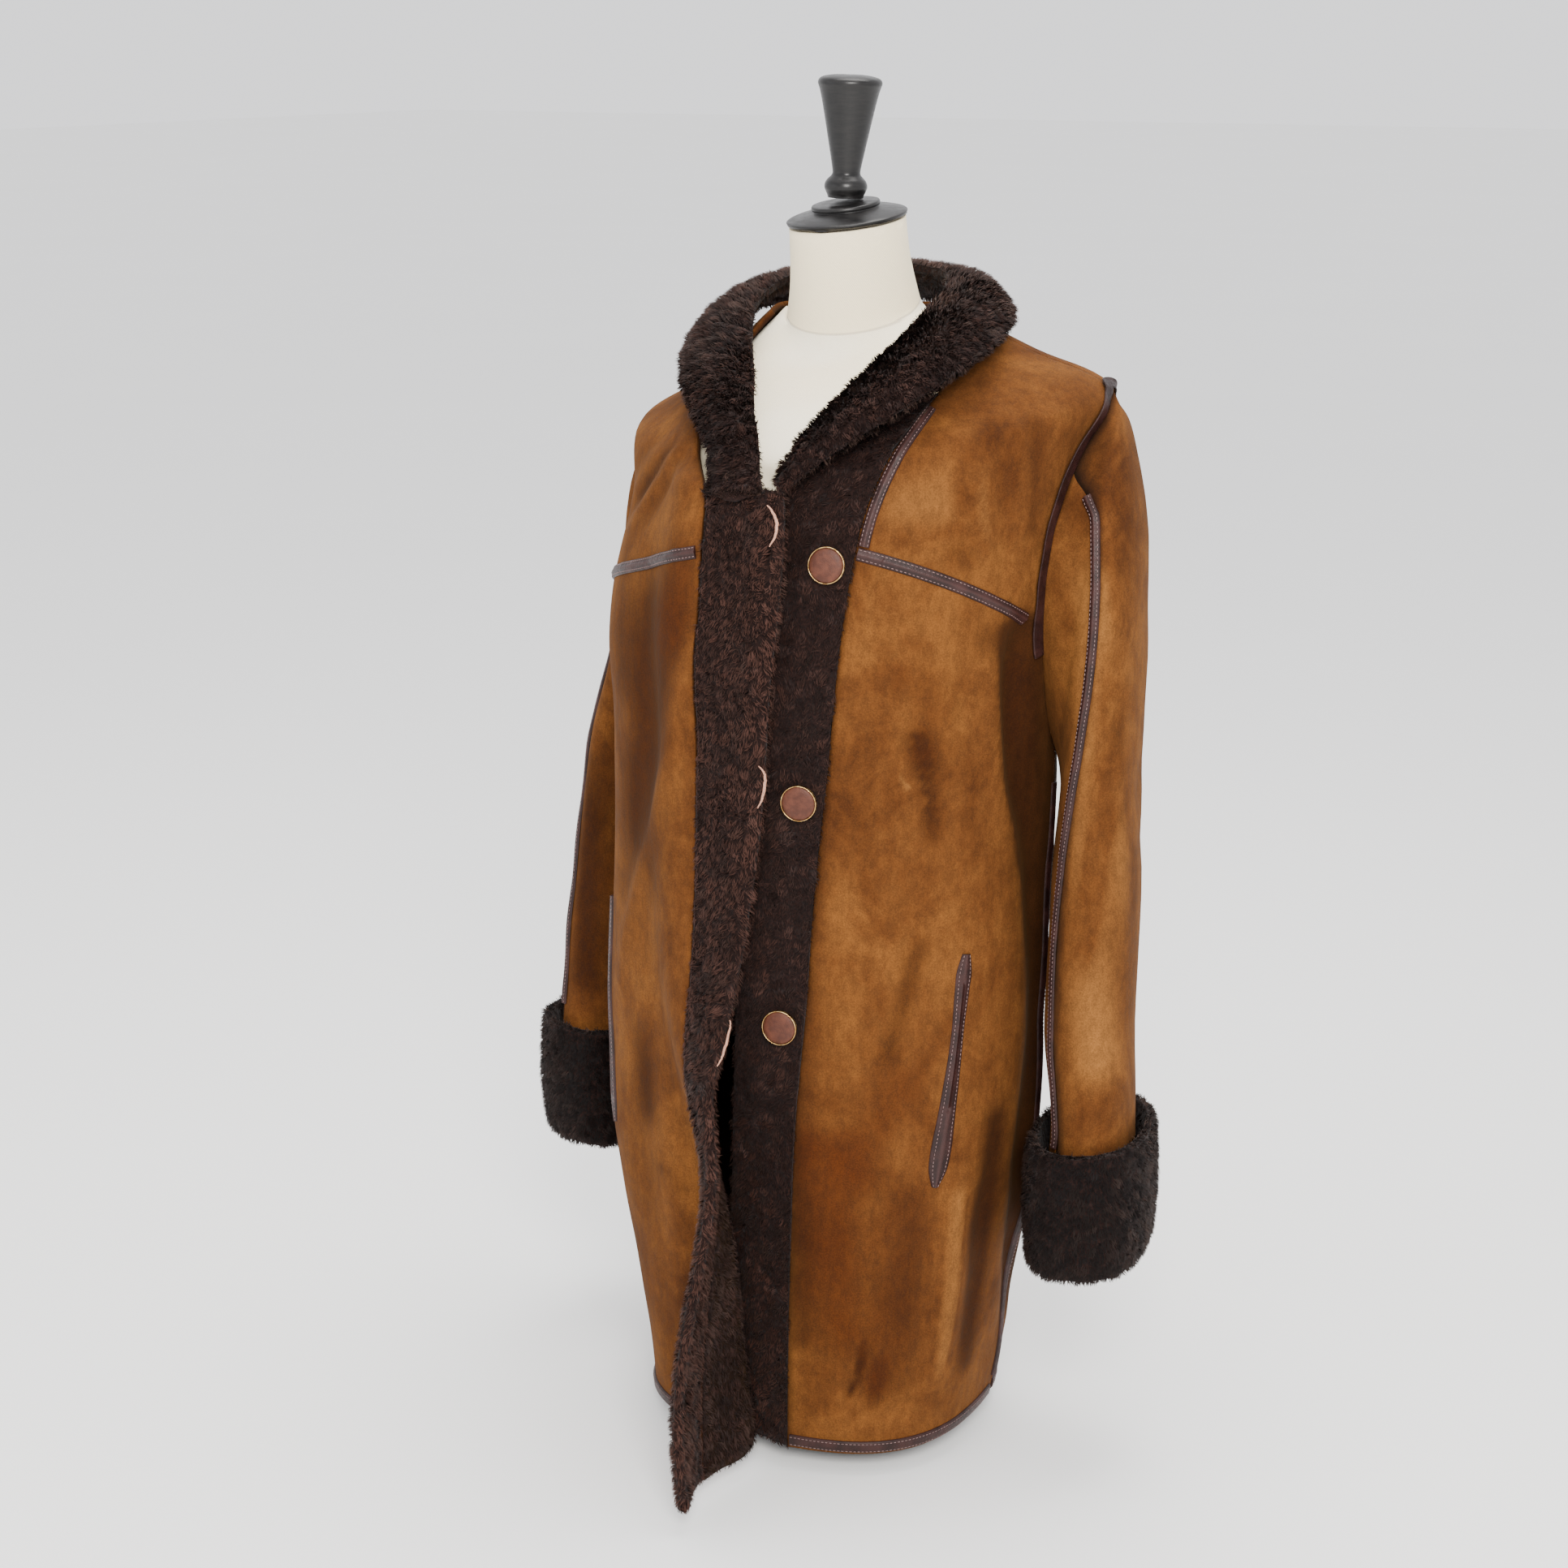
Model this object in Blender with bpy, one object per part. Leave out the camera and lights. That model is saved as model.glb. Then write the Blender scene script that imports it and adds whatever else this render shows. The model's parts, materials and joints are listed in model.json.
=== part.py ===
"""Shearling coat, worn on a limbless dress form with a turned neck cap. Metres, +Z up, coat front towards -Y.

The origin is the middle of the stand base's underside. +X is the wearer's left.
"""

import math

import bmesh
import bpy
from mathutils import Matrix, Vector
from mathutils.bvhtree import BVHTree

# Driving dimensions
SUEDE = 0.0045  # wall of a body or sleeve panel
SEAM = 0.0003  # gap between two pieces along a seam
BAND_SEAM = 0.0010  # gap along the seams of the fur bands
BINDING_WIDTH = 0.0095
BINDING = 0.0011  # thickness of a leather strip
STRIP_GAP = 0.0006  # between a leather strip and the cloth below it
LIFT = 0.0165  # how far the lapping front stands off the front below it
CUFF_HEIGHT = 0.106
BUTTON_RADIUS = 0.0132
BUTTON_PITCH = 0.1715
BUTTON_INSET = 0.0145  # from the seam of the left band to a button's middle
BUTTON_TOP_Z = 0.708
SHOULDER_DROP = 0.034  # the right shoulder hangs this much lower
RIGHT_HEM_PULL = 0.13  # share by which the hem is drawn in on the right, towards the open edge
BASE_RADIUS = 0.088
BASE_THICK = 0.010
POLE_RADIUS = 0.0125

# One row per level of the coat's body, hem to neck: heights at the middle front, the side and the middle back,
# half width, y of the front, of the widest point and of the back, and squareness of the oval.
LEVEL_COLUMNS = ("front_z", "side_z", "back_z", "half", "front_y", "side_y", "back_y", "square")
LEVELS = [
    (0.018, 0.018, 0.020, 0.1395, -0.130, -0.004, 0.104, 2.60),
    (0.110, 0.110, 0.110, 0.1545, -0.134, -0.002, 0.120, 2.45),
    (0.220, 0.220, 0.220, 0.1705, -0.136, 0.002, 0.132, 2.30),
    (0.330, 0.330, 0.330, 0.1745, -0.137, 0.010, 0.137, 2.20),
    (0.450, 0.450, 0.450, 0.1715, -0.135, 0.018, 0.134, 2.20),
    (0.550, 0.550, 0.550, 0.1700, -0.134, 0.020, 0.134, 2.20),
    (0.630, 0.640, 0.640, 0.1755, -0.134, 0.014, 0.138, 2.20),
    (0.700, 0.718, 0.715, 0.1830, -0.129, 0.016, 0.142, 2.15),
    (0.745, 0.776, 0.770, 0.1940, -0.118, 0.034, 0.143, 2.10),
    (0.778, 0.821, 0.810, 0.2030, -0.100, 0.058, 0.140, 2.05),
    (0.803, 0.842, 0.835, 0.1500, -0.070, 0.057, 0.128, 2.00),
    (0.826, 0.860, 0.856, 0.1040, -0.040, 0.056, 0.116, 2.00),
    (0.846, 0.875, 0.872, 0.0700, -0.012, 0.055, 0.104, 2.00),
]
UNDERARM, SHOULDER, NECK_LEVEL = 5.0, 9.0, 12.0  # levels, counted from the hem

# x of the seam between the left front's suede and its fur band, by height
LEFT_SEAM = [
    (0.02, 0.036), (0.15, 0.040), (0.28, 0.0445), (0.385, 0.0530), (0.478, 0.0590), (0.53, 0.0640),
    (0.615, 0.0720), (0.66, 0.0760), (0.70, 0.0805), (0.74, 0.0860), (0.777, 0.0960), (0.80, 0.1060),
    (0.83, 0.1080), (0.86, 0.0930), (0.90, 0.070),
]
# Width of the left fur band, by height
LEFT_BAND = [(0.02, 0.044), (0.15, 0.046), (0.30, 0.053), (0.45, 0.062), (0.60, 0.065), (0.80, 0.070)]
LEFT_TUCK = 0.018  # how far the left band's lower end lies in behind the right front
# Width of the right fur band, by height
RIGHT_BAND = [(0.02, 0.056), (0.30, 0.044), (0.42, 0.049), (0.55, 0.060), (0.70, 0.070), (0.80, 0.067)]
# The right front from the hem up: where it leaves the body's oval, how far it turns out there, and its reach beyond
RIGHT_COLUMNS = ("z", "hinge_x", "turn", "reach")
RIGHT_FRONT = [
    (0.020, 0.011, 113.0, 0.122),
    (0.097, 0.005, 106.0, 0.116),
    (0.148, -0.001, 97.0, 0.108),
    (0.200, -0.010, 84.0, 0.096),
    (0.250, -0.023, 64.0, 0.085),
    (0.320, -0.045, 34.0, 0.074),
    (0.378, -0.060, 15.0, 0.084),
    (0.437, -0.070, 4.0, 0.094),
    (0.505, -0.070, 0.0, 0.0985),
    (0.566, -0.070, 0.0, 0.1035),
    (0.691, -0.070, 0.0, 0.1090),
    (0.750, -0.070, 0.0, 0.1035),
    (0.778, -0.070, 0.0, 0.0890),
]
TURN_LENGTH = 0.046  # the bend at the hinge is spread over this much cloth

# Sleeves: underarm and outer edge of each slanting section, y of its middle and half depth, front to back
SLEEVE_COLUMNS = ("inner_x", "inner_z", "outer_x", "outer_z", "mid_y", "depth")
SLEEVES = {
    "left": [
        (0.176, 0.540, 0.217, 0.802, 0.052, 0.062),
        (0.181, 0.520, 0.230, 0.760, 0.048, 0.066),
        (0.180, 0.495, 0.2390, 0.700, 0.044, 0.066),
        (0.178, 0.465, 0.2415, 0.620, 0.040, 0.064),
        (0.178, 0.425, 0.2430, 0.530, 0.036, 0.062),
        (0.180, 0.380, 0.2485, 0.450, 0.028, 0.061),
        (0.184, 0.330, 0.2520, 0.370, 0.018, 0.059),
        (0.193, 0.275, 0.2560, 0.295, 0.011, 0.0545),
        (0.196, 0.232, 0.2565, 0.244, 0.010, 0.052),
    ],
    "right": [
        (0.170, 0.532, 0.187, 0.756, 0.070, 0.047),
        (0.177, 0.512, 0.195, 0.708, 0.086, 0.050),
        (0.183, 0.487, 0.2070, 0.652, 0.092, 0.053),
        (0.187, 0.457, 0.2220, 0.588, 0.092, 0.056),
        (0.188, 0.420, 0.2370, 0.515, 0.086, 0.058),
        (0.189, 0.378, 0.2440, 0.440, 0.078, 0.057),
        (0.191, 0.330, 0.2510, 0.365, 0.070, 0.055),
        (0.194, 0.285, 0.2555, 0.303, 0.058, 0.049),
        (0.196, 0.250, 0.2570, 0.262, 0.055, 0.046),
    ],
}
SLEEVE_YAW = math.radians(11)
CUFFS = {
    "left": {"x": 0.2250, "y": 0.010, "top": 0.273, "half": 0.0485, "depth": 0.0725},
    "right": {"x": 0.2265, "y": 0.056, "top": 0.277, "half": 0.0480, "depth": 0.0680},
}

# Collar, one row per stretch from the point of the V round the neck and back: inner edge, outer edge, crown
COLLAR_LEFT = [
    ((0.0200, -0.1160, 0.7760), (0.0330, -0.1330, 0.7640), 0.010),
    ((0.0290, -0.1010, 0.7930), (0.0560, -0.1230, 0.7770), 0.013),
    ((0.0400, -0.0840, 0.8090), (0.0850, -0.1060, 0.7950), 0.016),
    ((0.0560, -0.0600, 0.8320), (0.1100, -0.0860, 0.8130), 0.018),
    ((0.0680, -0.0300, 0.8530), (0.1290, -0.0560, 0.8310), 0.019),
    ((0.0720, 0.0020, 0.8690), (0.1380, -0.0150, 0.8450), 0.020),
    ((0.0700, 0.0340, 0.8820), (0.1340, 0.0320, 0.8560), 0.020),
    ((0.0600, 0.0660, 0.8920), (0.1150, 0.0840, 0.8640), 0.019),
    ((0.0400, 0.0900, 0.8970), (0.0760, 0.1270, 0.8660), 0.018),
]
COLLAR_BACK = ((0.0, 0.0990, 0.8985), (0.0, 0.1450, 0.8660), 0.018)
COLLAR_RIGHT = [
    ((-0.0400, 0.0900, 0.8950), (-0.0760, 0.1270, 0.8620), 0.018),
    ((-0.0600, 0.0660, 0.8880), (-0.1130, 0.0850, 0.8560), 0.019),
    ((-0.0640, 0.0340, 0.8760), (-0.1240, 0.0400, 0.8470), 0.020),
    ((-0.0560, 0.0060, 0.8620), (-0.1200, -0.0020, 0.8340), 0.020),
    ((-0.0400, -0.0260, 0.8460), (-0.1030, -0.0390, 0.8180), 0.019),
    ((-0.0230, -0.0560, 0.8280), (-0.0800, -0.0700, 0.8060), 0.019),
    ((-0.0070, -0.0860, 0.8060), (-0.0540, -0.0980, 0.7920), 0.018),
    ((0.0075, -0.1080, 0.7885), (-0.0290, -0.1220, 0.7770), 0.016),
    ((0.0165, -0.1250, 0.7755), (-0.0255, -0.1325, 0.7665), 0.012),
    ((0.0205, -0.1335, 0.7690), (-0.0245, -0.1400, 0.7620), 0.009),
]

COLOURS = {
    "suede": (0.30, 0.13, 0.035, 0.85),
    "fur": (0.035, 0.018, 0.013, 0.95),
    "leather": (0.075, 0.033, 0.025, 0.45),
    "form": (0.86, 0.80, 0.64, 0.90),
    "black": (0.012, 0.012, 0.014, 0.35),
    "gold": (0.75, 0.52, 0.20, 0.25),
    "steel": (0.10, 0.10, 0.11, 0.40),
}

# Rows up the coat's side: hem to underarm, armhole up to the yoke seam, armhole above it, shoulder seam to neck
YOKE_AT_SIDE = 6.15
SKIRT_ROWS = [0.0, 0.35, 0.75, 1.2, 1.65, 2.0, 2.25, 2.5, 2.75, 3.05, 3.4, 3.8, 4.2, 4.6, 5.0]
LOWER_ARMHOLE_ROWS = [5.0, 5.4, 5.8, YOKE_AT_SIDE]
UPPER_ARMHOLE_ROWS = [YOKE_AT_SIDE, 6.6, 7.1, 7.6, 8.1, 8.6, 9.0]
SHOULDER_ROWS = [9.0, 9.5, 10.0, 10.7, 11.4, 12.0]
YOKE_AT_FRONT = 7.27  # level of the yoke seam at the fur band
RIGHT_TOP = 8.65  # above this level the collar covers the right front's edge
# The right yoke's edge under the collar: how far it lies from the middle, by height
RIGHT_NECK_EDGE = [(0.76, 0.045), (0.778, 0.058), (0.80, 0.074), (0.826, 0.078), (0.846, 0.062)]


def smooth(low, high, value):
    """0 below low, 1 above high, and an easy curve between."""
    t = min(max((value - low) / (high - low), 0.0), 1.0)
    return t * t * (3.0 - 2.0 * t)


def blend(a, b, t):
    return a + (b - a) * t


def steps(start, end, count):
    return [blend(start, end, i / count) for i in range(count + 1)]


def circle(count):
    return [2.0 * math.pi * i / count for i in range(count)]


def follow(table, at):
    """The other columns of a table at one value of its first column, along a smooth curve."""
    rows = [tuple(row) for row in table]
    at = min(max(at, rows[0][0]), rows[-1][0])
    i = 0
    while i < len(rows) - 2 and rows[i + 1][0] < at:
        i += 1
    before, low, high, after = rows[max(i - 1, 0)], rows[i], rows[i + 1], rows[min(i + 2, len(rows) - 1)]
    span = high[0] - low[0]
    t = (at - low[0]) / span
    result = []
    for k in range(1, len(low)):
        leave = (high[k] - before[k]) / (high[0] - before[0]) * span
        arrive = (after[k] - low[k]) / (after[0] - low[0]) * span
        ease = t * t * (3.0 - 2.0 * t)
        curl = leave * t * (1.0 - t) ** 2 - arrive * t * t * (1.0 - t)
        result.append(low[k] + (high[k] - low[k]) * ease + curl)
    return result


LEVEL_CURVE = [(float(i), *row) for i, row in enumerate(LEVELS)]


def level(v):
    return dict(zip(LEVEL_COLUMNS, follow(LEVEL_CURVE, v)))


def body_point(angle, v):
    """A point of the coat's outer surface: degrees round from the front towards the wearer's left, and level."""
    ring = level(v)
    s, c = math.sin(math.radians(angle)), math.cos(math.radians(angle))
    power = 2.0 / ring["square"]
    end = "front" if c > 0 else "back"
    x = math.copysign(ring["half"] * abs(s) ** power, s)
    y = ring["side_y"] + (ring[end + "_y"] - ring["side_y"]) * abs(c) ** power
    z = ring["side_z"] + (ring[end + "_z"] - ring["side_z"]) * c * c
    lean = smooth(0.66, 0.80, z) * smooth(0.04, 0.19, -x)
    slim = smooth(0.60, 0.77, z) * smooth(0.03, 0.13, -x)
    pull = RIGHT_HEM_PULL * (1.0 - smooth(0.02, 0.30, z)) if x < 0.0 else 0.0
    return Vector((x * (1.0 - 0.15 * slim - pull), y + 0.006 * slim, z - SHOULDER_DROP * lean))


def angle_at(x, v):
    """Where round a level the front of the coat passes x."""
    ring = level(v)
    share = min(abs(x) / ring["half"], 0.999)
    return math.copysign(math.degrees(math.asin(share ** (ring["square"] / 2.0))), x)


def armhole(v, side):
    """Angles of the two edges of the body's side opening at a level; below the underarm both are the side seam."""
    t = min(max((v - UNDERARM) / (SHOULDER - UNDERARM), 0.0), 1.0)
    middle = blend(100.0, 90.0, t)
    shape = math.sin(math.pi * t) ** 0.7 if 0.0 < t < 1.0 else 0.0
    front = middle - (middle - 84.0) * shape
    back = middle + (130.0 - middle) * shape
    return side * front, side * back


def yoke_warp(share, v):
    """Levels bent so that the yoke seam, level at the armhole, rises towards the front edge."""
    top = blend(YOKE_AT_FRONT, YOKE_AT_SIDE, share)
    if v <= YOKE_AT_SIDE:
        return v * top / YOKE_AT_SIDE
    if v < SHOULDER:
        return blend(top, SHOULDER, (v - YOKE_AT_SIDE) / (SHOULDER - YOKE_AT_SIDE))
    return v


def left_seam_angle(v):
    height = level(v)["front_z"]
    return angle_at(follow(LEFT_SEAM, height)[0], v)


def left_point(share, v):
    """The left front: share 0 at the seam with the fur band, 1 at the side."""
    v = yoke_warp(share, v)
    return body_point(blend(left_seam_angle(v), armhole(v, 1)[0], share), v)


def left_band_point(share, v):
    """The left fur band: share 0 at its leading edge, 1 at the seam."""
    height = level(v)["front_z"]
    seam = follow(LEFT_SEAM, height)[0]
    edge = seam - follow(LEFT_BAND, height)[0]
    point = body_point(angle_at(blend(edge, seam, share), v), v)
    point.y += LEFT_TUCK * (1.0 - share) * (1.0 - smooth(0.15, 0.38, height))
    return point


def right_band_width(v):
    return follow(RIGHT_BAND, level(v)["front_z"])[0]


def right_line(v):
    """Points along the right front at a level, from its leading edge back, with the way along to each."""
    height = level(v)["front_z"]
    hinge_x, turn, reach = follow(RIGHT_FRONT, height)
    start_x = hinge_x - TURN_LENGTH / 2.0
    start = angle_at(start_x, v)
    lift = LIFT * (1.0 - smooth(20.0, 80.0, turn)) * (1.0 - smooth(0.765, 0.80, height))
    count = 60
    length = TURN_LENGTH / 2.0 + reach
    line = []
    for i in range(30):
        line.append(body_point(blend(armhole(v, -1)[0], start, i / 30.0), v))
    place = body_point(start, v)
    before = place.copy()
    line.append(place.copy())
    for i in range(1, count + 1):
        along = length * i / count
        flat = body_point(angle_at(start_x + along, v), v)
        bend = -math.radians(turn) * smooth(0.0, TURN_LENGTH, along)
        step = flat - before
        heading = Vector((step.x * math.cos(bend) - step.y * math.sin(bend),
                          step.x * math.sin(bend) + step.y * math.cos(bend), step.z))
        place = place + heading * (length / count / max(heading.xy.length, 1e-6))
        before = flat
        outward = Vector((heading.y, -heading.x, 0.0)).normalized()
        line.append(place + outward * lift * smooth(0.0, 0.05, along))
    line.reverse()
    ways = [0.0]
    for a, b in zip(line, line[1:]):
        ways.append(ways[-1] + (b - a).length)
    return line, ways


RIGHT_LINES = {}


def right_along(way, v):
    """A point of the right front at a level, that far back from the leading edge."""
    key = round(v, 5)
    if key not in RIGHT_LINES:
        RIGHT_LINES[key] = right_line(v)
    line, ways = RIGHT_LINES[key]
    way = min(max(way, 0.0), ways[-1])
    i = 0
    while i < len(ways) - 2 and ways[i + 1] < way:
        i += 1
    return line[i].lerp(line[i + 1], (way - ways[i]) / (ways[i + 1] - ways[i]))


def right_point(share, v):
    """The right front: share 0 at the seam with the fur band, 1 at the side."""
    v = yoke_warp(share, v)
    if v > RIGHT_TOP:
        height = level(v)["front_z"]
        edge = angle_at(-follow(RIGHT_NECK_EDGE, height)[0], v)
        return body_point(blend(edge, armhole(v, -1)[0], share), v)
    right_along(0.0, v)
    whole = RIGHT_LINES[round(v, 5)][1][-1]
    return right_along(blend(right_band_width(v), whole, share), v)


def back_point(share, v):
    """The back: share 0 at the wearer's left, 1 at the right."""
    left, right = armhole(v, 1)[1], armhole(v, -1)[1]
    return body_point(blend(left, 360.0 + right, share), v)


def facing(surface, across, up, sign=1.0, step=0.01):
    """A point of a surface, and the way out of the surface there."""
    sideways = surface(across + step, up) - surface(across - step, up)
    upward = surface(across, up + 0.04) - surface(across, up - 0.04)
    return surface(across, up), sideways.cross(upward).normalized() * sign


def moved(grid, ways, distance):
    """The grid moved out along its ways; distance is a number, or a function of row and column."""
    result = []
    for j, row in enumerate(grid):
        line = []
        for i, point in enumerate(row):
            line.append(point + ways[j][i] * (distance(j, i) if callable(distance) else distance))
        result.append(line)
    return result


def trimmed(grid, gap=SEAM / 2.0):
    """The grid with its four sides drawn in, which leaves the gap of a seam."""
    grid = [[point.copy() for point in row] for row in grid]
    for row in grid:
        first, last = (row[1] - row[0]).normalized(), (row[-2] - row[-1]).normalized()
        row[0] += first * gap
        row[-1] += last * gap
    for i in range(len(grid[0])):
        low, high = (grid[1][i] - grid[0][i]).normalized(), (grid[-2][i] - grid[-1][i]).normalized()
        grid[0][i] += low * gap
        grid[-1][i] += high * gap
    return grid


def material(kind):
    found = bpy.data.materials.get(kind)
    if found:
        return found
    red, green, blue, rough = COLOURS[kind]
    made = bpy.data.materials.new(kind)
    made.use_nodes = True
    shader = made.node_tree.nodes["Principled BSDF"]
    shader.inputs["Base Color"].default_value = (red, green, blue, 1.0)
    shader.inputs["Roughness"].default_value = rough
    shader.inputs["Metallic"].default_value = 1.0 if kind in ("gold", "steel") else 0.0
    return made


def make(name, points, faces, kind):
    """One closed body from points and faces, its faces pointing out."""
    mesh = bpy.data.meshes.new(name)
    mesh.from_pydata([tuple(point) for point in points], [], faces)
    shape = bmesh.new()
    shape.from_mesh(mesh)
    bmesh.ops.recalc_face_normals(shape, faces=shape.faces)
    quads = [face for face in shape.faces if len(face.verts) == 4]
    bmesh.ops.triangulate(shape, faces=quads, quad_method="FIXED")
    shape.to_mesh(mesh)
    shape.free()
    mesh.materials.append(material(kind))
    mesh.shade_smooth()
    mesh.set_sharp_from_angle(angle=math.radians(35))
    item = bpy.data.objects.new(name, mesh)
    bpy.context.scene.collection.objects.link(item)
    return item


def between(name, outer, inner, kind):
    """A closed wall between two grids of the same size."""
    rows, cols = len(outer), len(outer[0])
    points = [p for row in outer for p in row] + [p for row in inner for p in row]
    far = rows * cols
    faces = []
    for j in range(rows - 1):
        for i in range(cols - 1):
            a, b = j * cols + i, j * cols + i + 1
            c, d = b + cols, a + cols
            faces.append((a, b, c, d))
            faces.append((far + a, far + d, far + c, far + b))
    for i in range(cols - 1):
        top = (rows - 1) * cols + i
        faces.append((i, far + i, far + i + 1, i + 1))
        faces.append((top, top + 1, far + top + 1, far + top))
    for j in range(rows - 1):
        left, right = j * cols, j * cols + cols - 1
        faces.append((left, left + cols, far + left + cols, far + left))
        faces.append((right, far + right, far + right + cols, right + cols))
    return make(name, points, faces, kind)


def wall(name, pairs, kind, out=None, thick=None):
    """A closed wall from a grid of points and outward ways: its outer side out beyond the points, thick in all."""
    grid = trimmed([[point for point, _ in row] for row in pairs], (BAND_SEAM if thick else SEAM) / 2.0)
    ways = [[way for _, way in row] for row in pairs]
    outer = moved(grid, ways, out or 0.0)
    inner = moved(grid, ways, (lambda j, i: out(j, i) - thick(j, i)) if thick else -SUEDE)
    return between(name, outer, inner, kind)


def tube(name, rings, kind, caps=True):
    """A closed body from rings of points, joined in turn; without caps the last ring joins the first."""
    count = len(rings[0])
    points = [p for ring in rings for p in ring]
    faces = []
    last = len(rings) - 1 if caps else len(rings)
    for j in range(last):
        here, there = j * count, (j + 1) % len(rings) * count
        for i in range(count):
            k = (i + 1) % count
            faces.append((here + i, here + k, there + k, there + i))
    if caps:
        faces.append(tuple(range(count - 1, -1, -1)))
        faces.append(tuple(range((len(rings) - 1) * count, len(rings) * count)))
    return make(name, points, faces, kind)


def panel(surface, rows, columns, sign=1.0):
    """Points and outward ways up a panel, its columns going round the coat towards the wearer's left."""
    shares = steps(0.0, 1.0, columns)
    grid = [[facing(surface, share, v, sign) for share in shares] for v in rows]
    return grid if sign > 0.0 else [list(reversed(row)) for row in grid]


def make_fronts():
    lower = SKIRT_ROWS + LOWER_ARMHOLE_ROWS[1:]
    upper = UPPER_ARMHOLE_ROWS + SHOULDER_ROWS[1:]
    wall("left_front", panel(left_point, lower, 9), "suede")
    wall("left_yoke", panel(left_point, upper, 8), "suede")
    wall("right_front", panel(right_point, lower, 13, -1.0), "suede")
    wall("right_yoke", panel(right_point, upper, 9, -1.0), "suede")


def make_back():
    rows = SKIRT_ROWS + LOWER_ARMHOLE_ROWS[1:] + UPPER_ARMHOLE_ROWS[1:] + SHOULDER_ROWS[1:]
    wall("back", panel(back_point, rows, 14), "suede")


def rounded(way, body, edge):
    """Half thickness across a fur band: full at the leading edge's roll, thinner inwards, rounded at the edge."""
    roll = 1.0 - smooth(0.018, 0.045, way)
    tip = math.sqrt(1.0 - (1.0 - min(way / 0.009, 1.0)) ** 2)
    return blend(body, edge, roll) * max(tip, 0.18)


BAND_WAYS = [0.0, 0.0016, 0.005, 0.010, 0.020, 0.034, 0.052, 1.0]  # from the leading edge; the last is the seam
PANEL_ROWS = SKIRT_ROWS + LOWER_ARMHOLE_ROWS[1:] + UPPER_ARMHOLE_ROWS[1:]
SEAM_ROWS = [yoke_warp(0.0, v) for v in PANEL_ROWS]
LEFT_BAND_ROWS = SEAM_ROWS + [9.5, 10.0]
RIGHT_BAND_ROWS = [v for v in SEAM_ROWS if v < RIGHT_TOP]


def make_bands():
    left = []
    for v in LEFT_BAND_ROWS:
        width = follow(LEFT_BAND, level(v)["front_z"])[0]
        shares = [min(way, width - 0.018 + 0.002 * i) / width for i, way in enumerate(BAND_WAYS[:-1])] + [1.0]
        row = [facing(left_band_point, share, v) for share in shares]
        left.append(row)

    for row, v in zip(left, PANEL_ROWS + [9.5, 10.0]):
        row[-1] = facing(left_point, 0.0, v)

    def thin(j):
        return 1.0 - smooth(7.6, 8.8, LEFT_BAND_ROWS[j])

    def left_out(j, i):
        return 0.0035 * max(rounded(BAND_WAYS[i], 1.0, 1.5), 0.2)

    def left_thick(j, i):
        inner = 0.0042 + 0.0033 * thin(j)
        return left_out(j, i) + inner * rounded(BAND_WAYS[i], 1.0, 1.2)

    wall("left_band", left, "fur", left_out, left_thick)
    right = []
    for v in RIGHT_BAND_ROWS:
        width = right_band_width(v)
        ways = [min(way, width - 0.018 + 0.002 * i) for i, way in enumerate(BAND_WAYS[:-1])] + [width]
        right.append([facing(right_along, way, v, -1.0, 0.0015) for way in reversed(ways)])

    for row, v in zip(right, PANEL_ROWS):
        row[0] = facing(right_point, 0.0, v, -1.0)

    def right_out(j, i):
        return rounded(BAND_WAYS[-1 - i], 0.0038, 0.0068)

    def right_thick(j, i):
        return right_out(j, i) + rounded(BAND_WAYS[-1 - i], 0.0068, 0.0082)

    wall("right_band", right, "fur", right_out, right_thick)


ARMHOLE_ROWS = [9.0, 8.6, 8.1, 7.6, 7.1, 6.6, 6.15, 5.8, 5.4, 5.0]


def armhole_point(side, turn):
    """A point of the armhole's edge: turn 0 at the shoulder, 0.25 at the front, 0.5 at the underarm."""
    turn = turn % 1.0
    edge = 0 if turn <= 0.5 else 1
    at = (turn if turn <= 0.5 else 1.0 - turn) * 2.0 * (len(ARMHOLE_ROWS) - 1)
    i = min(int(at), len(ARMHOLE_ROWS) - 2)
    ends = [body_point(armhole(v, side)[edge], v) for v in ARMHOLE_ROWS[i:i + 2]]
    return ends[0].lerp(ends[1], at - i) + Vector((side * 0.0012, 0.0, 0.0))


def cuff_point(name, height, grow, a):
    """A point of a cuff, so far below its top and grown out by so much, before it is mirrored to its side."""
    cuff = CUFFS[name]
    c, s = math.cos(a), math.sin(a)
    power = 2.0 / 2.5
    x = math.copysign(abs(c) ** power, c) * (cuff["half"] + grow)
    y = math.copysign(abs(s) ** power, s) * (cuff["depth"] + grow)
    turned_x = cuff["x"] + x * math.cos(SLEEVE_YAW) + y * math.sin(SLEEVE_YAW)
    turned_y = cuff["y"] + x * math.sin(SLEEVE_YAW) - y * math.cos(SLEEVE_YAW)
    return Vector((turned_x, turned_y, cuff["top"] - height + 0.10 * x))


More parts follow.
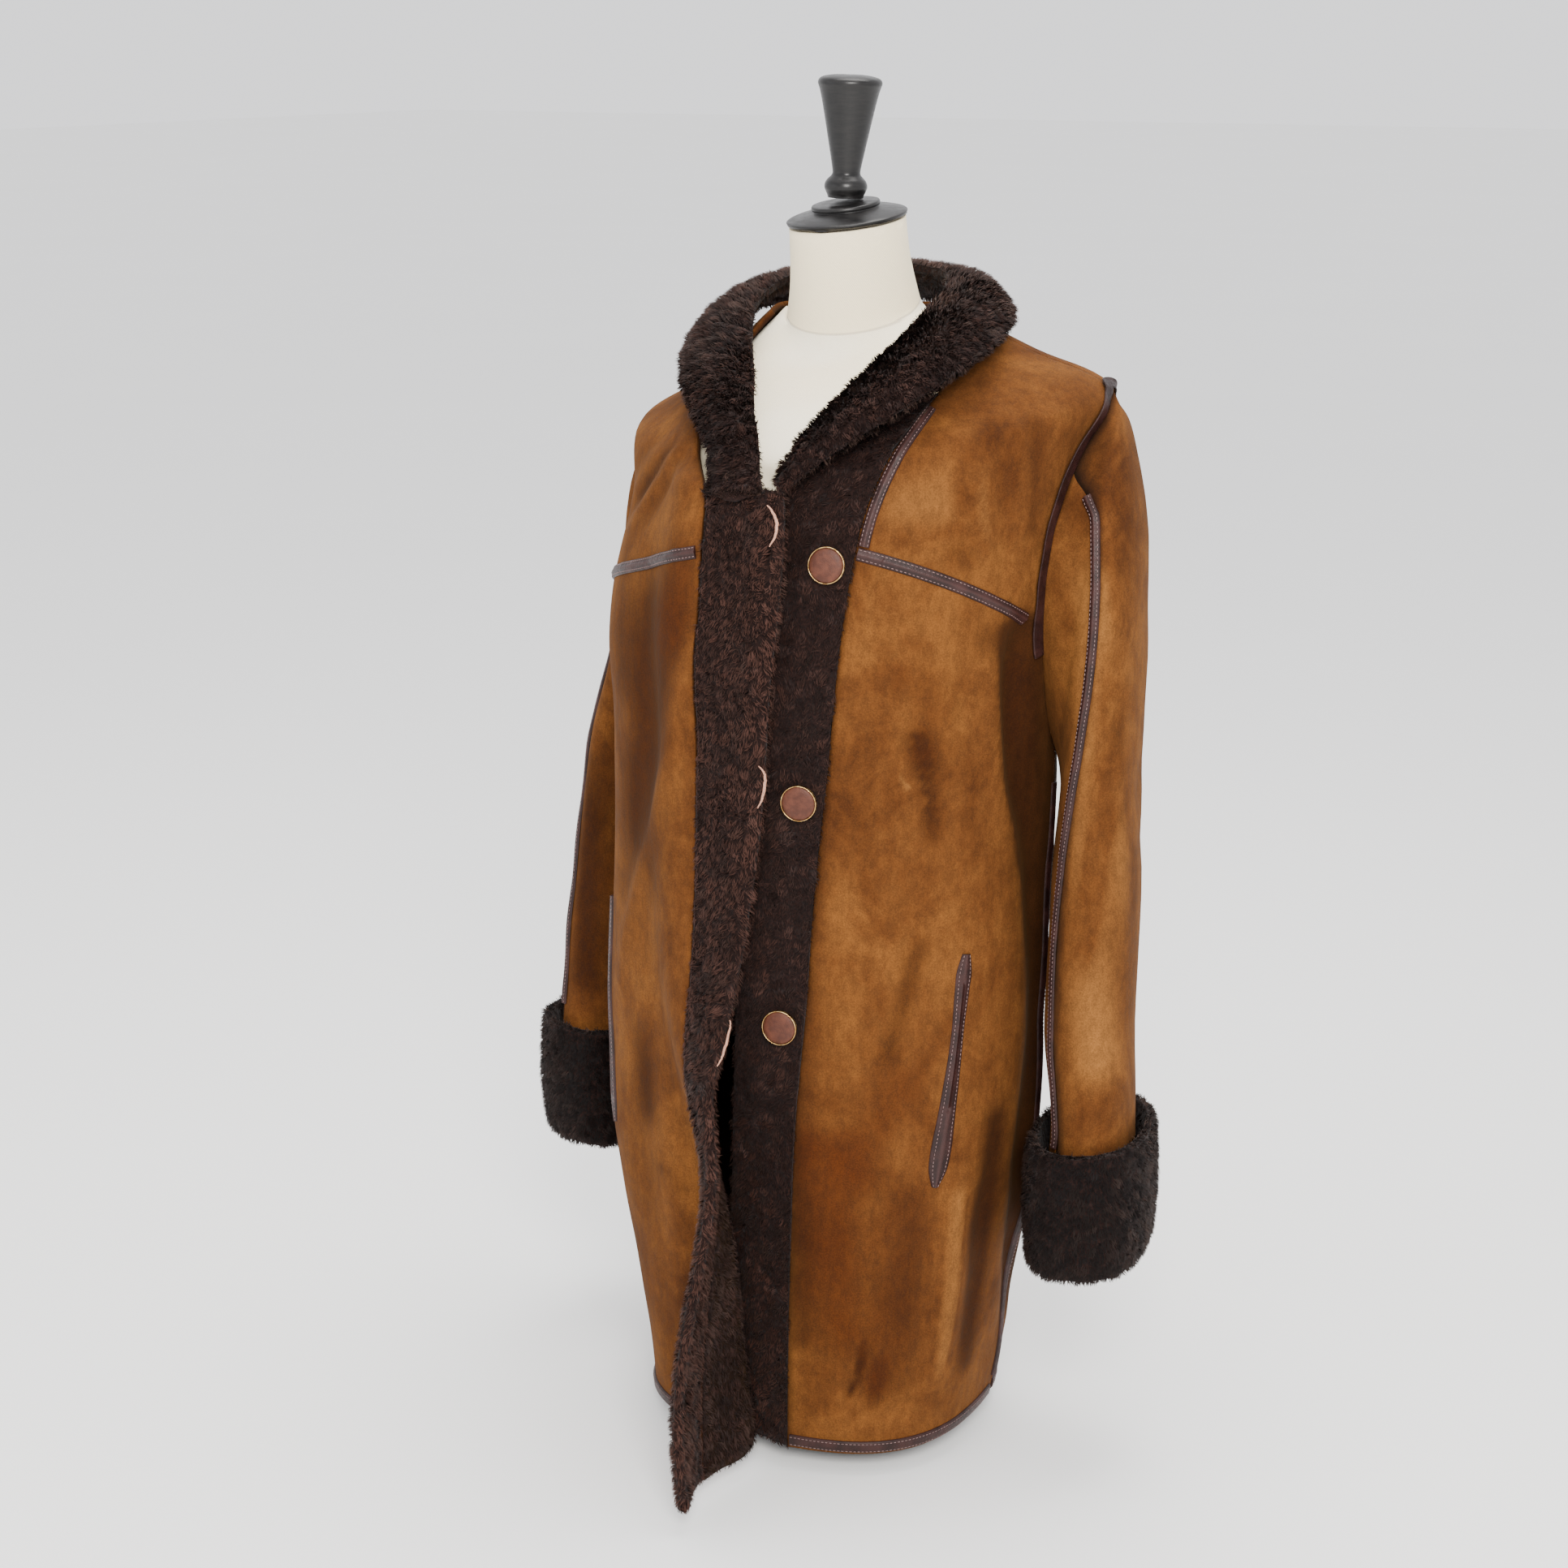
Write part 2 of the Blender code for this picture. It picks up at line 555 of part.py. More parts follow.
def sleeve_point(name, k, turn):
    """A point of a sleeve's outer surface: k counts its sections from the armhole, turn goes round it."""
    side = 1 if name == "left" else -1
    table = [(float(i + 1), *row) for i, row in enumerate(SLEEVES[name])]
    row = dict(zip(SLEEVE_COLUMNS, follow(table, max(k, 1.0))))
    middle_x = (row["inner_x"] + row["outer_x"]) / 2.0
    middle = Vector((middle_x, row["mid_y"], (row["inner_z"] + row["outer_z"]) / 2.0))
    outward = Vector(((row["outer_x"] - row["inner_x"]) / 2.0, 0.0, (row["outer_z"] - row["inner_z"]) / 2.0))
    forward = Vector((math.sin(SLEEVE_YAW), -math.cos(SLEEVE_YAW), 0.0)) * row["depth"]
    c, s = math.cos(2.0 * math.pi * turn), math.sin(2.0 * math.pi * turn)
    power = 2.0 / 2.25
    point = middle + outward * math.copysign(abs(c) ** power, c) + forward * math.copysign(abs(s) ** power, s)
    if k > 8.2:
        point = point.lerp(cuff_point(name, 0.048, -0.0153, 2.0 * math.pi * turn), smooth(8.2, 9.0, k))
    point.x *= side
    if k >= 1.0:
        return point
    return armhole_point(side, turn).lerp(point, k)


SLEEVE_STEPS = [0.0, 0.5, 1.0, 1.5, 2.0, 2.5, 3.0, 3.6, 4.3, 5.0, 6.0, 7.0, 8.0, 9.0]
BETWEEN_STEPS = [0.8, 1.25, 1.75, 2.25, 2.75, 3.3, 3.95, 4.65, 5.5, 6.5, 7.5]


def sleeve_seams(name, k):
    """Turns of the front and back seams of a sleeve at a section."""
    t = k / 9.0
    if name == "right":
        return blend(0.045, 0.170, smooth(0.0, 1.0, t)), blend(-0.275, -0.300, t)
    return blend(0.135, 0.350, smooth(-0.1, 0.68, t)), blend(-0.150, -0.215, t)


def sleeve_facing(name, k, turn):
    """A point of a sleeve and the way out of it there; at the armhole the way out has no part along X."""
    side = 1.0 if name == "left" else -1.0
    point, away = facing(lambda round_it, at: sleeve_point(name, at, round_it), turn, k, side)
    away.x *= smooth(0.0, 0.8, k)
    return point, away.normalized()


def make_sleeves():
    for name in ("left", "right"):
        top, under = [], []
        for k in SLEEVE_STEPS:
            front, back = sleeve_seams(name, k)
            top.append([sleeve_facing(name, k, turn) for turn in steps(back, front, 10)])
            under.append([sleeve_facing(name, k, turn) for turn in steps(front, 1.0 + back, 9)])
        wall(name + "_top_sleeve", top, "suede")
        wall(name + "_under_sleeve", under, "suede")


def cuff_ring(name, height, grow):
    """A level ring of a cuff, grown out by so much."""
    side = 1 if name == "left" else -1
    ring = [cuff_point(name, height, grow, a) for a in circle(22)]
    return [Vector((side * point.x, point.y, point.z)) for point in ring]


def make_cuffs():
    """Turned-back fur cuffs: a rounded wall round the sleeve's end, open above and below."""
    profile = [
        (0.0, -0.0115), (0.001, -0.0030), (0.006, -0.0008), (0.020, 0.0004), (0.050, 0.0015), (0.080, 0.0008),
        (0.096, -0.0010), (0.104, -0.0045), (CUFF_HEIGHT, -0.0090), (0.103, -0.0130), (0.090, -0.0145),
        (0.060, -0.0140), (0.020, -0.0145),
    ]
    for name in ("left", "right"):
        rings = [cuff_ring(name, height, grow) for height, grow in profile]
        tube(name + "_cuff", rings, "fur", caps=False)


# Dress form: how far its surface lies inside the coat's outer surface, by level
FORM_INSET = [
    (3.2, 0.040), (4.0, 0.050), (5.0, 0.036), (6.0, 0.030), (7.0, 0.022), (8.0, 0.0145), (8.6, 0.0140),
    (9.0, 0.0072), (12.0, 0.0072),
]
FORM_LEVELS = [3.2, 3.6, 4.0, 4.5, 5.0, 5.5, 6.0, 6.6, 7.2, 7.8, 8.3, 8.7, 9.0, 9.5, 10.2, 11.0, 12.0]
# Neck sections: middle y and z, half width, half depth, and forward slope of the section in degrees
NECK_COLUMNS = ("y", "z", "half_x", "half_y")
NECK = [
    (0.0480, 0.8670, 0.0520, 0.0490),
    (0.0440, 0.8860, 0.0475, 0.0460),
    (0.0395, 0.9080, 0.0445, 0.0440),
    (0.0350, 0.9350, 0.0432, 0.0432),
]
NECK_FORWARD = math.radians(8.2)  # the neck's cap slopes down to the front
NECK_ASIDE = math.radians(-3.2)  # and a little to the wearer's right
CAP_CENTRE = Vector((0.0, 0.0348, 0.9356))
# Turned profiles, bottom to top: radius and height
CAP_PROFILE = [
    (0.0405, 0.0003), (0.0440, 0.0012), (0.0450, 0.0030), (0.0438, 0.0046), (0.0350, 0.0072), (0.0275, 0.0088),
    (0.0252, 0.0098), (0.0257, 0.0115), (0.0250, 0.0132), (0.0180, 0.0140),
]
FINIAL_PROFILE = [
    (0.0130, 0.0000), (0.0136, 0.0020), (0.0155, 0.0060), (0.0158, 0.0090), (0.0145, 0.0125), (0.0110, 0.0160),
    (0.0104, 0.0185), (0.0111, 0.0240), (0.0160, 0.0490), (0.0212, 0.0740), (0.0235, 0.0810), (0.0232, 0.0840),
    (0.0200, 0.0864), (0.0120, 0.0878),
]
FINIAL_LEAN = math.radians(2.4)


def form_ring(v, count):
    """A level of the form, inside the coat's outer surface."""
    inset = follow(FORM_INSET, v)[0]
    ring = []
    for i in range(count):
        angle = 360.0 * i / count
        here = body_point(angle, v)
        around = body_point(angle + 1.0, v) - body_point(angle - 1.0, v)
        up = body_point(angle, v + 0.05) - body_point(angle, v - 0.05)
        if v > NECK_LEVEL - 0.06:
            up = body_point(angle, NECK_LEVEL) - body_point(angle, NECK_LEVEL - 0.1)
        ring.append(here - around.cross(up).normalized() * inset)
    return ring


def make_form():
    count = 24
    rings = [form_ring(v, count) for v in FORM_LEVELS]
    base = sum(rings[0], Vector()) / count
    rings[0] = [Vector((p.x, p.y, base.z)) for p in rings[0]]
    for values in NECK:
        row = dict(zip(NECK_COLUMNS, values))
        ring = []
        for i in range(count):
            a = 2.0 * math.pi * i / count
            x, y = math.sin(a) * row["half_x"], -math.cos(a) * row["half_y"]
            z = row["z"] + y * math.tan(NECK_FORWARD) - x * math.tan(NECK_ASIDE)
            ring.append(Vector((x, row["y"] + y, z)))
        rings.append(ring)
    tube("form_body", rings, "form")


def turned(name, profile, centre, tilt, kind, count):
    """A turned piece standing on a centre, its axis tilted by turns about X and Y."""
    place = Matrix.Translation(centre) @ Matrix.Rotation(tilt[1], 4, "Y") @ Matrix.Rotation(tilt[0], 4, "X")
    rings = []
    for radius, height in profile:
        ring = []
        for i in range(count):
            a = 2.0 * math.pi * i / count
            ring.append(place @ Vector((math.sin(a) * radius, -math.cos(a) * radius, height)))
        rings.append(ring)
    return tube(name, rings, kind)


def make_stand():
    tilt = (NECK_FORWARD, NECK_ASIDE)
    turned("form_cap", CAP_PROFILE, CAP_CENTRE, tilt, "black", 24)
    turn = Matrix.Rotation(tilt[1], 3, "Y") @ Matrix.Rotation(tilt[0], 3, "X")
    seat = CAP_CENTRE + turn @ Vector((0.0, 0.0, CAP_PROFILE[-1][1] + SEAM))
    slant = FINIAL_PROFILE[0][0] * math.tan(NECK_FORWARD - NECK_ASIDE)
    turned("form_finial", FINIAL_PROFILE, seat + Vector((0.0, 0.0, slant)), (0.0, FINIAL_LEAN), "black", 18)
    pole_top = min(vertex.co.z for vertex in bpy.data.objects["form_body"].data.vertices) - SEAM
    pole = [(POLE_RADIUS, BASE_THICK + SEAM), (POLE_RADIUS, pole_top)]
    turned("form_pole", pole, Vector(), (0.0, 0.0), "steel", 16)
    base = [(BASE_RADIUS - 0.002, 0.0), (BASE_RADIUS, 0.002), (BASE_RADIUS, BASE_THICK - 0.002),
            (BASE_RADIUS - 0.002, BASE_THICK)]
    turned("form_base", base, Vector(), (0.0, 0.0), "steel", 32)


def tree_of(*names):
    """A search tree over the surfaces of some finished pieces."""
    points, faces = [], []
    for name in names:
        mesh = bpy.data.objects[name].data
        start = len(points)
        points += [vertex.co.copy() for vertex in mesh.vertices]
        faces += [[start + i for i in face.vertices] for face in mesh.polygons]
    return BVHTree.FromPolygons(points, faces)


def seated(point, tree, gap):
    """The point, moved out along the surface below it until it is clear of that surface by the gap."""
    place, normal, _, _ = tree.find_nearest(point)
    height = (point - place).dot(normal)
    return point + normal * (gap - height) if height < gap else point


def laid(point, tree, gap):
    """The place on a surface nearest to a point, the gap above it, and the surface's normal there."""
    place, normal, _, _ = tree.find_nearest(point)
    return place + normal * gap, normal


def height_over(tree, spot, normal):
    """How far out along the normal the surface lies from a spot; else that of the nearest place."""
    start = spot + normal * 0.008
    place = tree.ray_cast(start, -normal, 0.014)[0]
    if place is None:
        place = tree.find_nearest(start)[0]
    return (place - spot).dot(normal)


def strip(name, spots, tree, width=BINDING_WIDTH, shift=0.0, columns=2, reach=0.0006, gap=STRIP_GAP):
    """A flat strip laid on finished pieces along points with outward ways. shift moves it sideways."""
    bottom, top = [], []
    last = len(spots) - 1
    for j, (point, normal) in enumerate(spots):
        along = spots[min(j + 1, last)][0] - spots[max(j - 1, 0)][0]
        side = normal.cross(along).normalized()
        around = [side * a + along.normalized() * b for a in (-reach, 0.0, reach) for b in (-reach, 0.0, reach)]
        wide = width(j / last) if callable(width) else width
        low = []
        for across in steps(-0.5, 0.5, columns):
            spot = point + side * (across * wide + shift)
            height = max(height_over(tree, spot + offset, normal) for offset in around)
            low.append(spot + normal * (height + gap))
        bottom.append(low)
        top.append([place + normal * BINDING for place in low])
    return between(name, top, bottom, "leather")


def span(low, high, *values):
    """All the values that lie between two ends, in order, and the ends."""
    inside = sorted({round(value, 5) for group in values for value in group})
    return [low] + [value for value in inside if low + 0.01 < value < high - 0.01] + [high]


def armhole_spots(side):
    """Points over an armhole from low at the back to low in front, and the ways out of the coat there."""
    spots = []
    rows = len(ARMHOLE_ROWS) - 1
    for turn in span(-0.315 if side > 0 else -0.27, 0.37, steps(-0.5, 0.5, 4 * rows), (-0.012, 0.012)):
        at = abs(turn) * 2.0 * rows
        row = min(int(at), len(ARMHOLE_ROWS) - 2)
        v = blend(ARMHOLE_ROWS[row], ARMHOLE_ROWS[row + 1], at - row)
        angle = armhole(v, side)[0 if turn >= 0.0 else 1]
        away = facing(body_point, angle, min(v, 8.7), step=0.5)[1]
        away += Vector((0.0, 0.0, max(v - 8.7, 0.0) * 3.0))
        spots.append((armhole_point(side, turn), away.normalized()))
    return spots


def make_seam_bindings():
    """Leather strips over the yoke seams, the side seams, the armholes, the sleeves' seams and the hem."""
    left, right = tree_of("left_front", "left_yoke", "back"), tree_of("right_front", "right_yoke", "back")
    seam = span(0.012, 0.895, steps(0.0, 1.0, 8), steps(0.0, 1.0, 9))
    strip("left_yoke_binding", [facing(left_point, share, YOKE_AT_SIDE) for share in seam], left)
    seam = span(0.018, 0.90, steps(0.0, 1.0, 9), steps(0.0, 1.0, 13))
    strip("right_yoke_binding", [facing(right_point, share, YOKE_AT_SIDE, -1.0) for share in seam], right)
    edge = span(YOKE_AT_SIDE + 0.18, 9.7, UPPER_ARMHOLE_ROWS, SHOULDER_ROWS)
    spots = [facing(left_point, 0.030, v) for v in edge]
    strip("left_edge_binding", spots, tree_of("left_yoke"), width=0.0080, reach=0.0020)
    hem = span(0.01, 0.985, steps(0.0, 1.0, 9))
    strip("left_hem_binding", [facing(left_point, share, 0.062) for share in hem], left)
    hem = span(0.01, 0.985, steps(0.0, 1.0, 13))
    strip("right_hem_binding", [facing(right_point, share, 0.062, -1.0) for share in hem], right, reach=0.0020)
    hem = span(0.02, 0.98, steps(0.0, 1.0, 14))
    strip("back_hem_binding", [facing(back_point, share, 0.062) for share in hem], left)
    for name, side, tree in (("left", 1, left), ("right", -1, right)):
        shift = -side * (BINDING_WIDTH / 2.0 + 0.0010)
        spots = armhole_spots(side)
        strip(name + "_armhole_binding", spots, tree, shift=shift, columns=4, reach=0.0045, gap=0.0015)
        line = [facing(body_point, armhole(v, side)[0], v, step=0.5) for v in span(0.20, 4.74, SKIRT_ROWS)]
        strip(name + "_side_binding", line, tree, width=0.0070)
        sleeve = tree_of(name + "_top_sleeve", name + "_under_sleeve")
        for end in (0, 1):
            rows = span(0.62, 8.25, SLEEVE_STEPS, BETWEEN_STEPS)
            line = [sleeve_facing(name, k, sleeve_seams(name, k)[end]) for k in rows]
            node = name + "_sleeve_binding_" + ("front", "back")[end]
            strip(node, line, sleeve, width=0.0080, reach=0.0025, gap=0.0010)


# Width of a pocket welt, from its top end to its foot
WELT_WIDTH = [
    (0.0, 0.0070), (0.05, 0.0125), (0.16, 0.0125), (0.3, 0.0105), (0.62, 0.0140), (0.90, 0.0160), (1.0, 0.0050),
]


def welt_width(way):
    return follow(WELT_WIDTH, way)[0]


def make_pockets():
    """A slanting pocket welt on each front, narrow at the top."""
    for name, side in (("left", 1), ("right", -1)):
        spots = []
        for way in steps(0.0, 1.0, 14):
            v = blend(3.72, 2.18, way)
            angle = side * blend(60.0, 52.0, way)
            spots.append(facing(body_point, angle, v, step=0.5))
        strip(name + "_pocket_welt", spots, tree_of(name + "_front"), width=welt_width)


def make_collar():
    """The fur shawl collar: a thick rolled band from the V up one side, round the neck and down the other."""
    under = tree_of("left_front", "left_yoke", "right_yoke", "back", "left_band", "form_body")
    rows = COLLAR_LEFT + [COLLAR_BACK] + COLLAR_RIGHT
    table = [(float(i), *inner, *outer, crown) for i, (inner, outer, crown) in enumerate(rows)]
    count, rings = 44, []
    for j in range(count + 1):
        at = (len(rows) - 1) * j / count
        values = follow(table, at)
        ahead, behind = follow(table, at + 0.1), follow(table, at - 0.1)
        inner, outer, crown = Vector(values[0:3]), Vector(values[3:6]), values[6]
        along = (Vector(ahead[0:3]) + Vector(ahead[3:6]) - Vector(behind[0:3]) - Vector(behind[3:6])).normalized()
        up = (outer - inner).cross(along).normalized()
        ring = []
        for i in range(7):
            t = i / 6
            ring.append(inner.lerp(outer, t) + up * crown * math.sin(math.pi * blend(0.06, 0.94, t)) ** 0.7)
        for i in range(5):
            t = 1.0 - (i + 0.5) / 5
            ring.append(inner.lerp(outer, t) - up * 0.003)
        rings.append([seated(point, under, 0.0012) for point in ring])
    tube("collar", rings, "fur")


def make_buttons():
    """Three covered buttons with thin metal rims, standing on the left band."""
    band = tree_of("left_band")
    for number in range(3):
        height = BUTTON_TOP_Z - number * BUTTON_PITCH
        v = 0.0
        while level(v)["front_z"] < height:
            v += 0.002
        seam_x = follow(LEFT_SEAM, height)[0]
        before = body_point(angle_at(seam_x - BUTTON_INSET, v), v) + Vector((0.0, -0.01, 0.0))
        spot, face = laid(before, band, 0.0006)
        turn = Vector((0.0, 0.0, 1.0)).rotation_difference(face).to_matrix().to_4x4()
        seat = Matrix.Translation(spot) @ turn
        brim = []
        for radius in (0.006, BUTTON_RADIUS):
            brim += [seat @ Vector((math.cos(a) * radius, math.sin(a) * radius, 0.0)) for a in circle(14)]
        lift = max(height_over(band, point, face) for point in brim) + 0.0003
        seat = Matrix.Translation(face * lift) @ seat
        cap = [(0.0080, 0.0000), (0.0118, 0.0012), (0.0122, 0.0032), (0.0095, 0.0046), (0.0040, 0.0052)]
        rings = []
        for reach, out in cap:
            rings.append([seat @ Vector((math.cos(a) * reach, math.sin(a) * reach, out)) for a in circle(14)])
        tube(f"button_{number + 1}", rings, "leather")
        low, high, wide = 0.0010, 0.0036, BUTTON_RADIUS
        rim = [(0.0125, low), (wide, low), (wide, high), (0.0125, high)]
        rings = []
        for radius, out in rim:
            rings.append([seat @ Vector((math.cos(a) * radius, math.sin(a) * radius, out)) for a in circle(14)])
        tube(f"button_rim_{number + 1}", rings, "gold", caps=False)


def clear_scene():
    for item in list(bpy.data.objects):
        bpy.data.objects.remove(item, do_unlink=True)


def main():
    clear_scene()
    make_fronts()
    make_back()
    make_bands()
    make_sleeves()
    make_cuffs()
    make_form()
    make_stand()
    make_seam_bindings()
    make_pockets()
    make_collar()
    make_buttons()


main()
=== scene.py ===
import json
import math

import bmesh
import bpy
import numpy as np
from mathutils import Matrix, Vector, noise
from mathutils.bvhtree import BVHTree
from mathutils.kdtree import KDTree

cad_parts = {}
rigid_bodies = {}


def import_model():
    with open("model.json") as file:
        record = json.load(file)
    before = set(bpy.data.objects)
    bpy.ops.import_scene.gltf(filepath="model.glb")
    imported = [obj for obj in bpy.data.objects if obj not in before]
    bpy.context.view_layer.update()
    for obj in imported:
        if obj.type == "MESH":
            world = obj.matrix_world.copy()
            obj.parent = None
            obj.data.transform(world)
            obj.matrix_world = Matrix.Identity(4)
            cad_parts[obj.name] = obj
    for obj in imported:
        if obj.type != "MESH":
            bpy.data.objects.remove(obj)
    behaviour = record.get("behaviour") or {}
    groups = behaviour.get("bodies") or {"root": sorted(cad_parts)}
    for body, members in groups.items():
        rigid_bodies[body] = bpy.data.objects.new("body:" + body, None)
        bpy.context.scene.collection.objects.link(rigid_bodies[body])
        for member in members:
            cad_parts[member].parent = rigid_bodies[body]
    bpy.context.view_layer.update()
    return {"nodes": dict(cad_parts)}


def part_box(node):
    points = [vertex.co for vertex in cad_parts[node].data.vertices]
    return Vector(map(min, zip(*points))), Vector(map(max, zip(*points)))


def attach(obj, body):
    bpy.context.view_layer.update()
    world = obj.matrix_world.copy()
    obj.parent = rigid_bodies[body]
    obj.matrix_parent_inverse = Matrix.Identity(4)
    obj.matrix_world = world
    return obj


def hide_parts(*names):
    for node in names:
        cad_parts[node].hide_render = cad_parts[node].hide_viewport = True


for item in list(bpy.data.objects):
    bpy.data.objects.remove(item, do_unlink=True)

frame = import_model()
print("coat: frame loaded,", len(frame["nodes"]), "nodes")


def dropSelection():
    for item in bpy.data.objects:
        item.select_set(False)


def pieceFrom(name, points, faces):
    # a new object with its place in its mesh
    mesh = bpy.data.meshes.new(name)
    mesh.from_pydata([tuple(point) for point in points], [], faces)
    mesh.update()
    piece = bpy.data.objects.new(name, mesh)
    bpy.context.scene.collection.objects.link(piece)
    return piece


def tubeFrom(name, points, ring):
    # a closed piece from rings of that many points, with its faces turned out
    faces = []
    last = len(points) - ring
    for start in range(0, last, ring):
        for i in range(ring):
            a, b = start + i, start + (i + 1) % ring
            faces.append((a, b, b + ring, a + ring))
    faces += [tuple(reversed(range(ring))), tuple(range(last, len(points)))]
    piece = pieceFrom(name, points, faces)
    work = bmesh.new()
    work.from_mesh(piece.data)
    bmesh.ops.recalc_face_normals(work, faces=work.faces)
    work.to_mesh(piece.data)
    work.free()
    return piece


def hump(gaps, width):
    return np.exp(-((gaps / width) ** 2))


def applied(piece, kind, **settings):
    # one modifier, set up and applied
    dropSelection()
    piece.select_set(True)
    bpy.context.view_layer.objects.active = piece
    modifier = piece.modifiers.new("shape", kind)
    for key, value in settings.items():
        setattr(modifier, key, value)
    bpy.ops.object.modifier_apply(modifier=modifier.name)


def softened(piece, angle=None):
    # smooth shading, by angle where the piece keeps hard edges
    dropSelection()
    piece.select_set(True)
    bpy.context.view_layer.objects.active = piece
    if angle is None:
        bpy.ops.object.shade_smooth()
    else:
        bpy.ops.object.shade_smooth_by_angle(angle=math.radians(angle))


def quadsOf(node):
    # the CAD node's mesh, with its triangles joined to quads
    work = bmesh.new()
    work.from_mesh(bpy.data.objects[node].data)
    bmesh.ops.remove_doubles(work, verts=work.verts, dist=1e-6)
    bmesh.ops.join_triangles(
        work, faces=work.faces, angle_face_threshold=math.pi, angle_shape_threshold=math.pi
    )
    return work


def wallSides(work, hard):
    # the two large sides of a wall, which hard rims part from each other
    left = set(work.faces)
    sheets = []
    while left:
        sheet, front = [], [left.pop()]
        while front:
            face = front.pop()
            sheet.append(face)
            for edge in face.edges:
                if edge.is_manifold and edge.calc_face_angle(0.0) < math.radians(hard):
                    for other in edge.link_faces:
                        if other in left:
                            left.discard(other)
                            front.append(other)
        sheets.append(sheet)
    sheets.sort(key=lambda sheet: -sum(face.calc_area() for face in sheet))
    return sheets[:2]


def refined(node, name, hard=60, sharp=1.0, group=None):
    # the CAD node's mesh, subdivided through its own points, with its hard rims kept;
    # with a group, the points of its inner side are marked as inside
    levels, rounds = 2, 4  # of subdivision, and of fitting the cage to the points
    work = quadsOf(node)
    if group:
        inside = work.verts.layers.float.new("inside")
        for sheet in wallSides(work, hard):
            centres = np.array([tuple(face.calc_center_median()) for face in sheet])
            ways = np.array([tuple(face.normal * face.calc_area()) for face in sheet])
            if np.einsum("ij,ij->", ways, outwards(centres, group)) < 0.0:
                for face in sheet:
                    for vertex in face.verts:
                        vertex[inside] = 1.0
    layer = work.edges.layers.float.get("crease_edge") or work.edges.layers.float.new("crease_edge")
    for edge in work.edges:
        if edge.is_manifold and edge.calc_face_angle(0.0) > math.radians(hard):
            edge[layer] = sharp
    true = np.array([tuple(vertex.co) for vertex in work.verts])
    cage = true.copy()
    for turn in range(rounds):
        for vertex, spot in zip(work.verts, cage):
            vertex.co = spot
        mesh = bpy.data.meshes.new(name)
        work.to_mesh(mesh)
        piece = bpy.data.objects.new(name, mesh)
        bpy.context.scene.collection.objects.link(piece)
        applied(piece, "SUBSURF", levels=levels, render_levels=levels)
        if turn < rounds - 1:
            cage += true - pointsOf(piece)[: len(true)]
            bpy.data.objects.remove(piece, do_unlink=True)
            bpy.data.meshes.remove(mesh)
    work.free()
    piece.name = name
    return piece


def pointsOf(piece):
    spots = np.empty(len(piece.data.vertices) * 3)
    piece.data.vertices.foreach_get("co", spots)
    return spots.reshape(-1, 3)


def movePoints(piece, spots):
    piece.data.vertices.foreach_set("co", np.asarray(spots).ravel())
    piece.data.update()


def normalsOf(piece):
    normals = np.empty(len(piece.data.vertices) * 3)
    piece.data.vertex_normals.foreach_get("vector", normals)
    return normals.reshape(-1, 3)


def keepValues(piece, name, values):
    # a number for each point, for the material to read
    layer = piece.data.attributes.new(name, "FLOAT", "POINT")
    layer.data.foreach_set("value", np.asarray(values, dtype=np.float32))


def treeOf(*pieces):
    spots, faces = [], []
    for piece in pieces:
        start = len(spots)
        spots += [vertex.co.copy() for vertex in piece.data.vertices]
        faces += [[start + i for i in face.vertices] for face in piece.data.polygons]
    return BVHTree.FromPolygons(spots, faces)


def ramp(low, high, value):
    share = np.clip((value - low) / (high - low), 0.0, 1.0)
    return share * share * (3.0 - 2.0 * share)


def dress(piece, finish, slot, *nodes):
    # gives a piece its material and the body that it moves with, and hides the nodes that it stands for; the
    # slot is not used
    piece.data.materials.clear()
    piece.data.materials.append(finish.material)
    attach(piece, "root")
    if nodes:
        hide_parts(*nodes)
    return piece


class Wire:
    # one output of a node; Python's arithmetic on it adds Math nodes
    def __init__(self, finish, socket):
        self.finish = finish
        self.socket = socket

    def maths(self, operation, first, second):
        return self.finish.node("ShaderNodeMath", {"operation": operation}, {0: first, 1: second})

    def __add__(self, other):
        return self.maths("ADD", self, other)

    def __radd__(self, other):
        return self.maths("ADD", other, self)

    def __sub__(self, other):
        return self.maths("SUBTRACT", self, other)

    def __rsub__(self, other):
        return self.maths("SUBTRACT", other, self)

    def __mul__(self, other):
        return self.maths("MULTIPLY", self, other)

    def __rmul__(self, other):
        return self.maths("MULTIPLY", other, self)


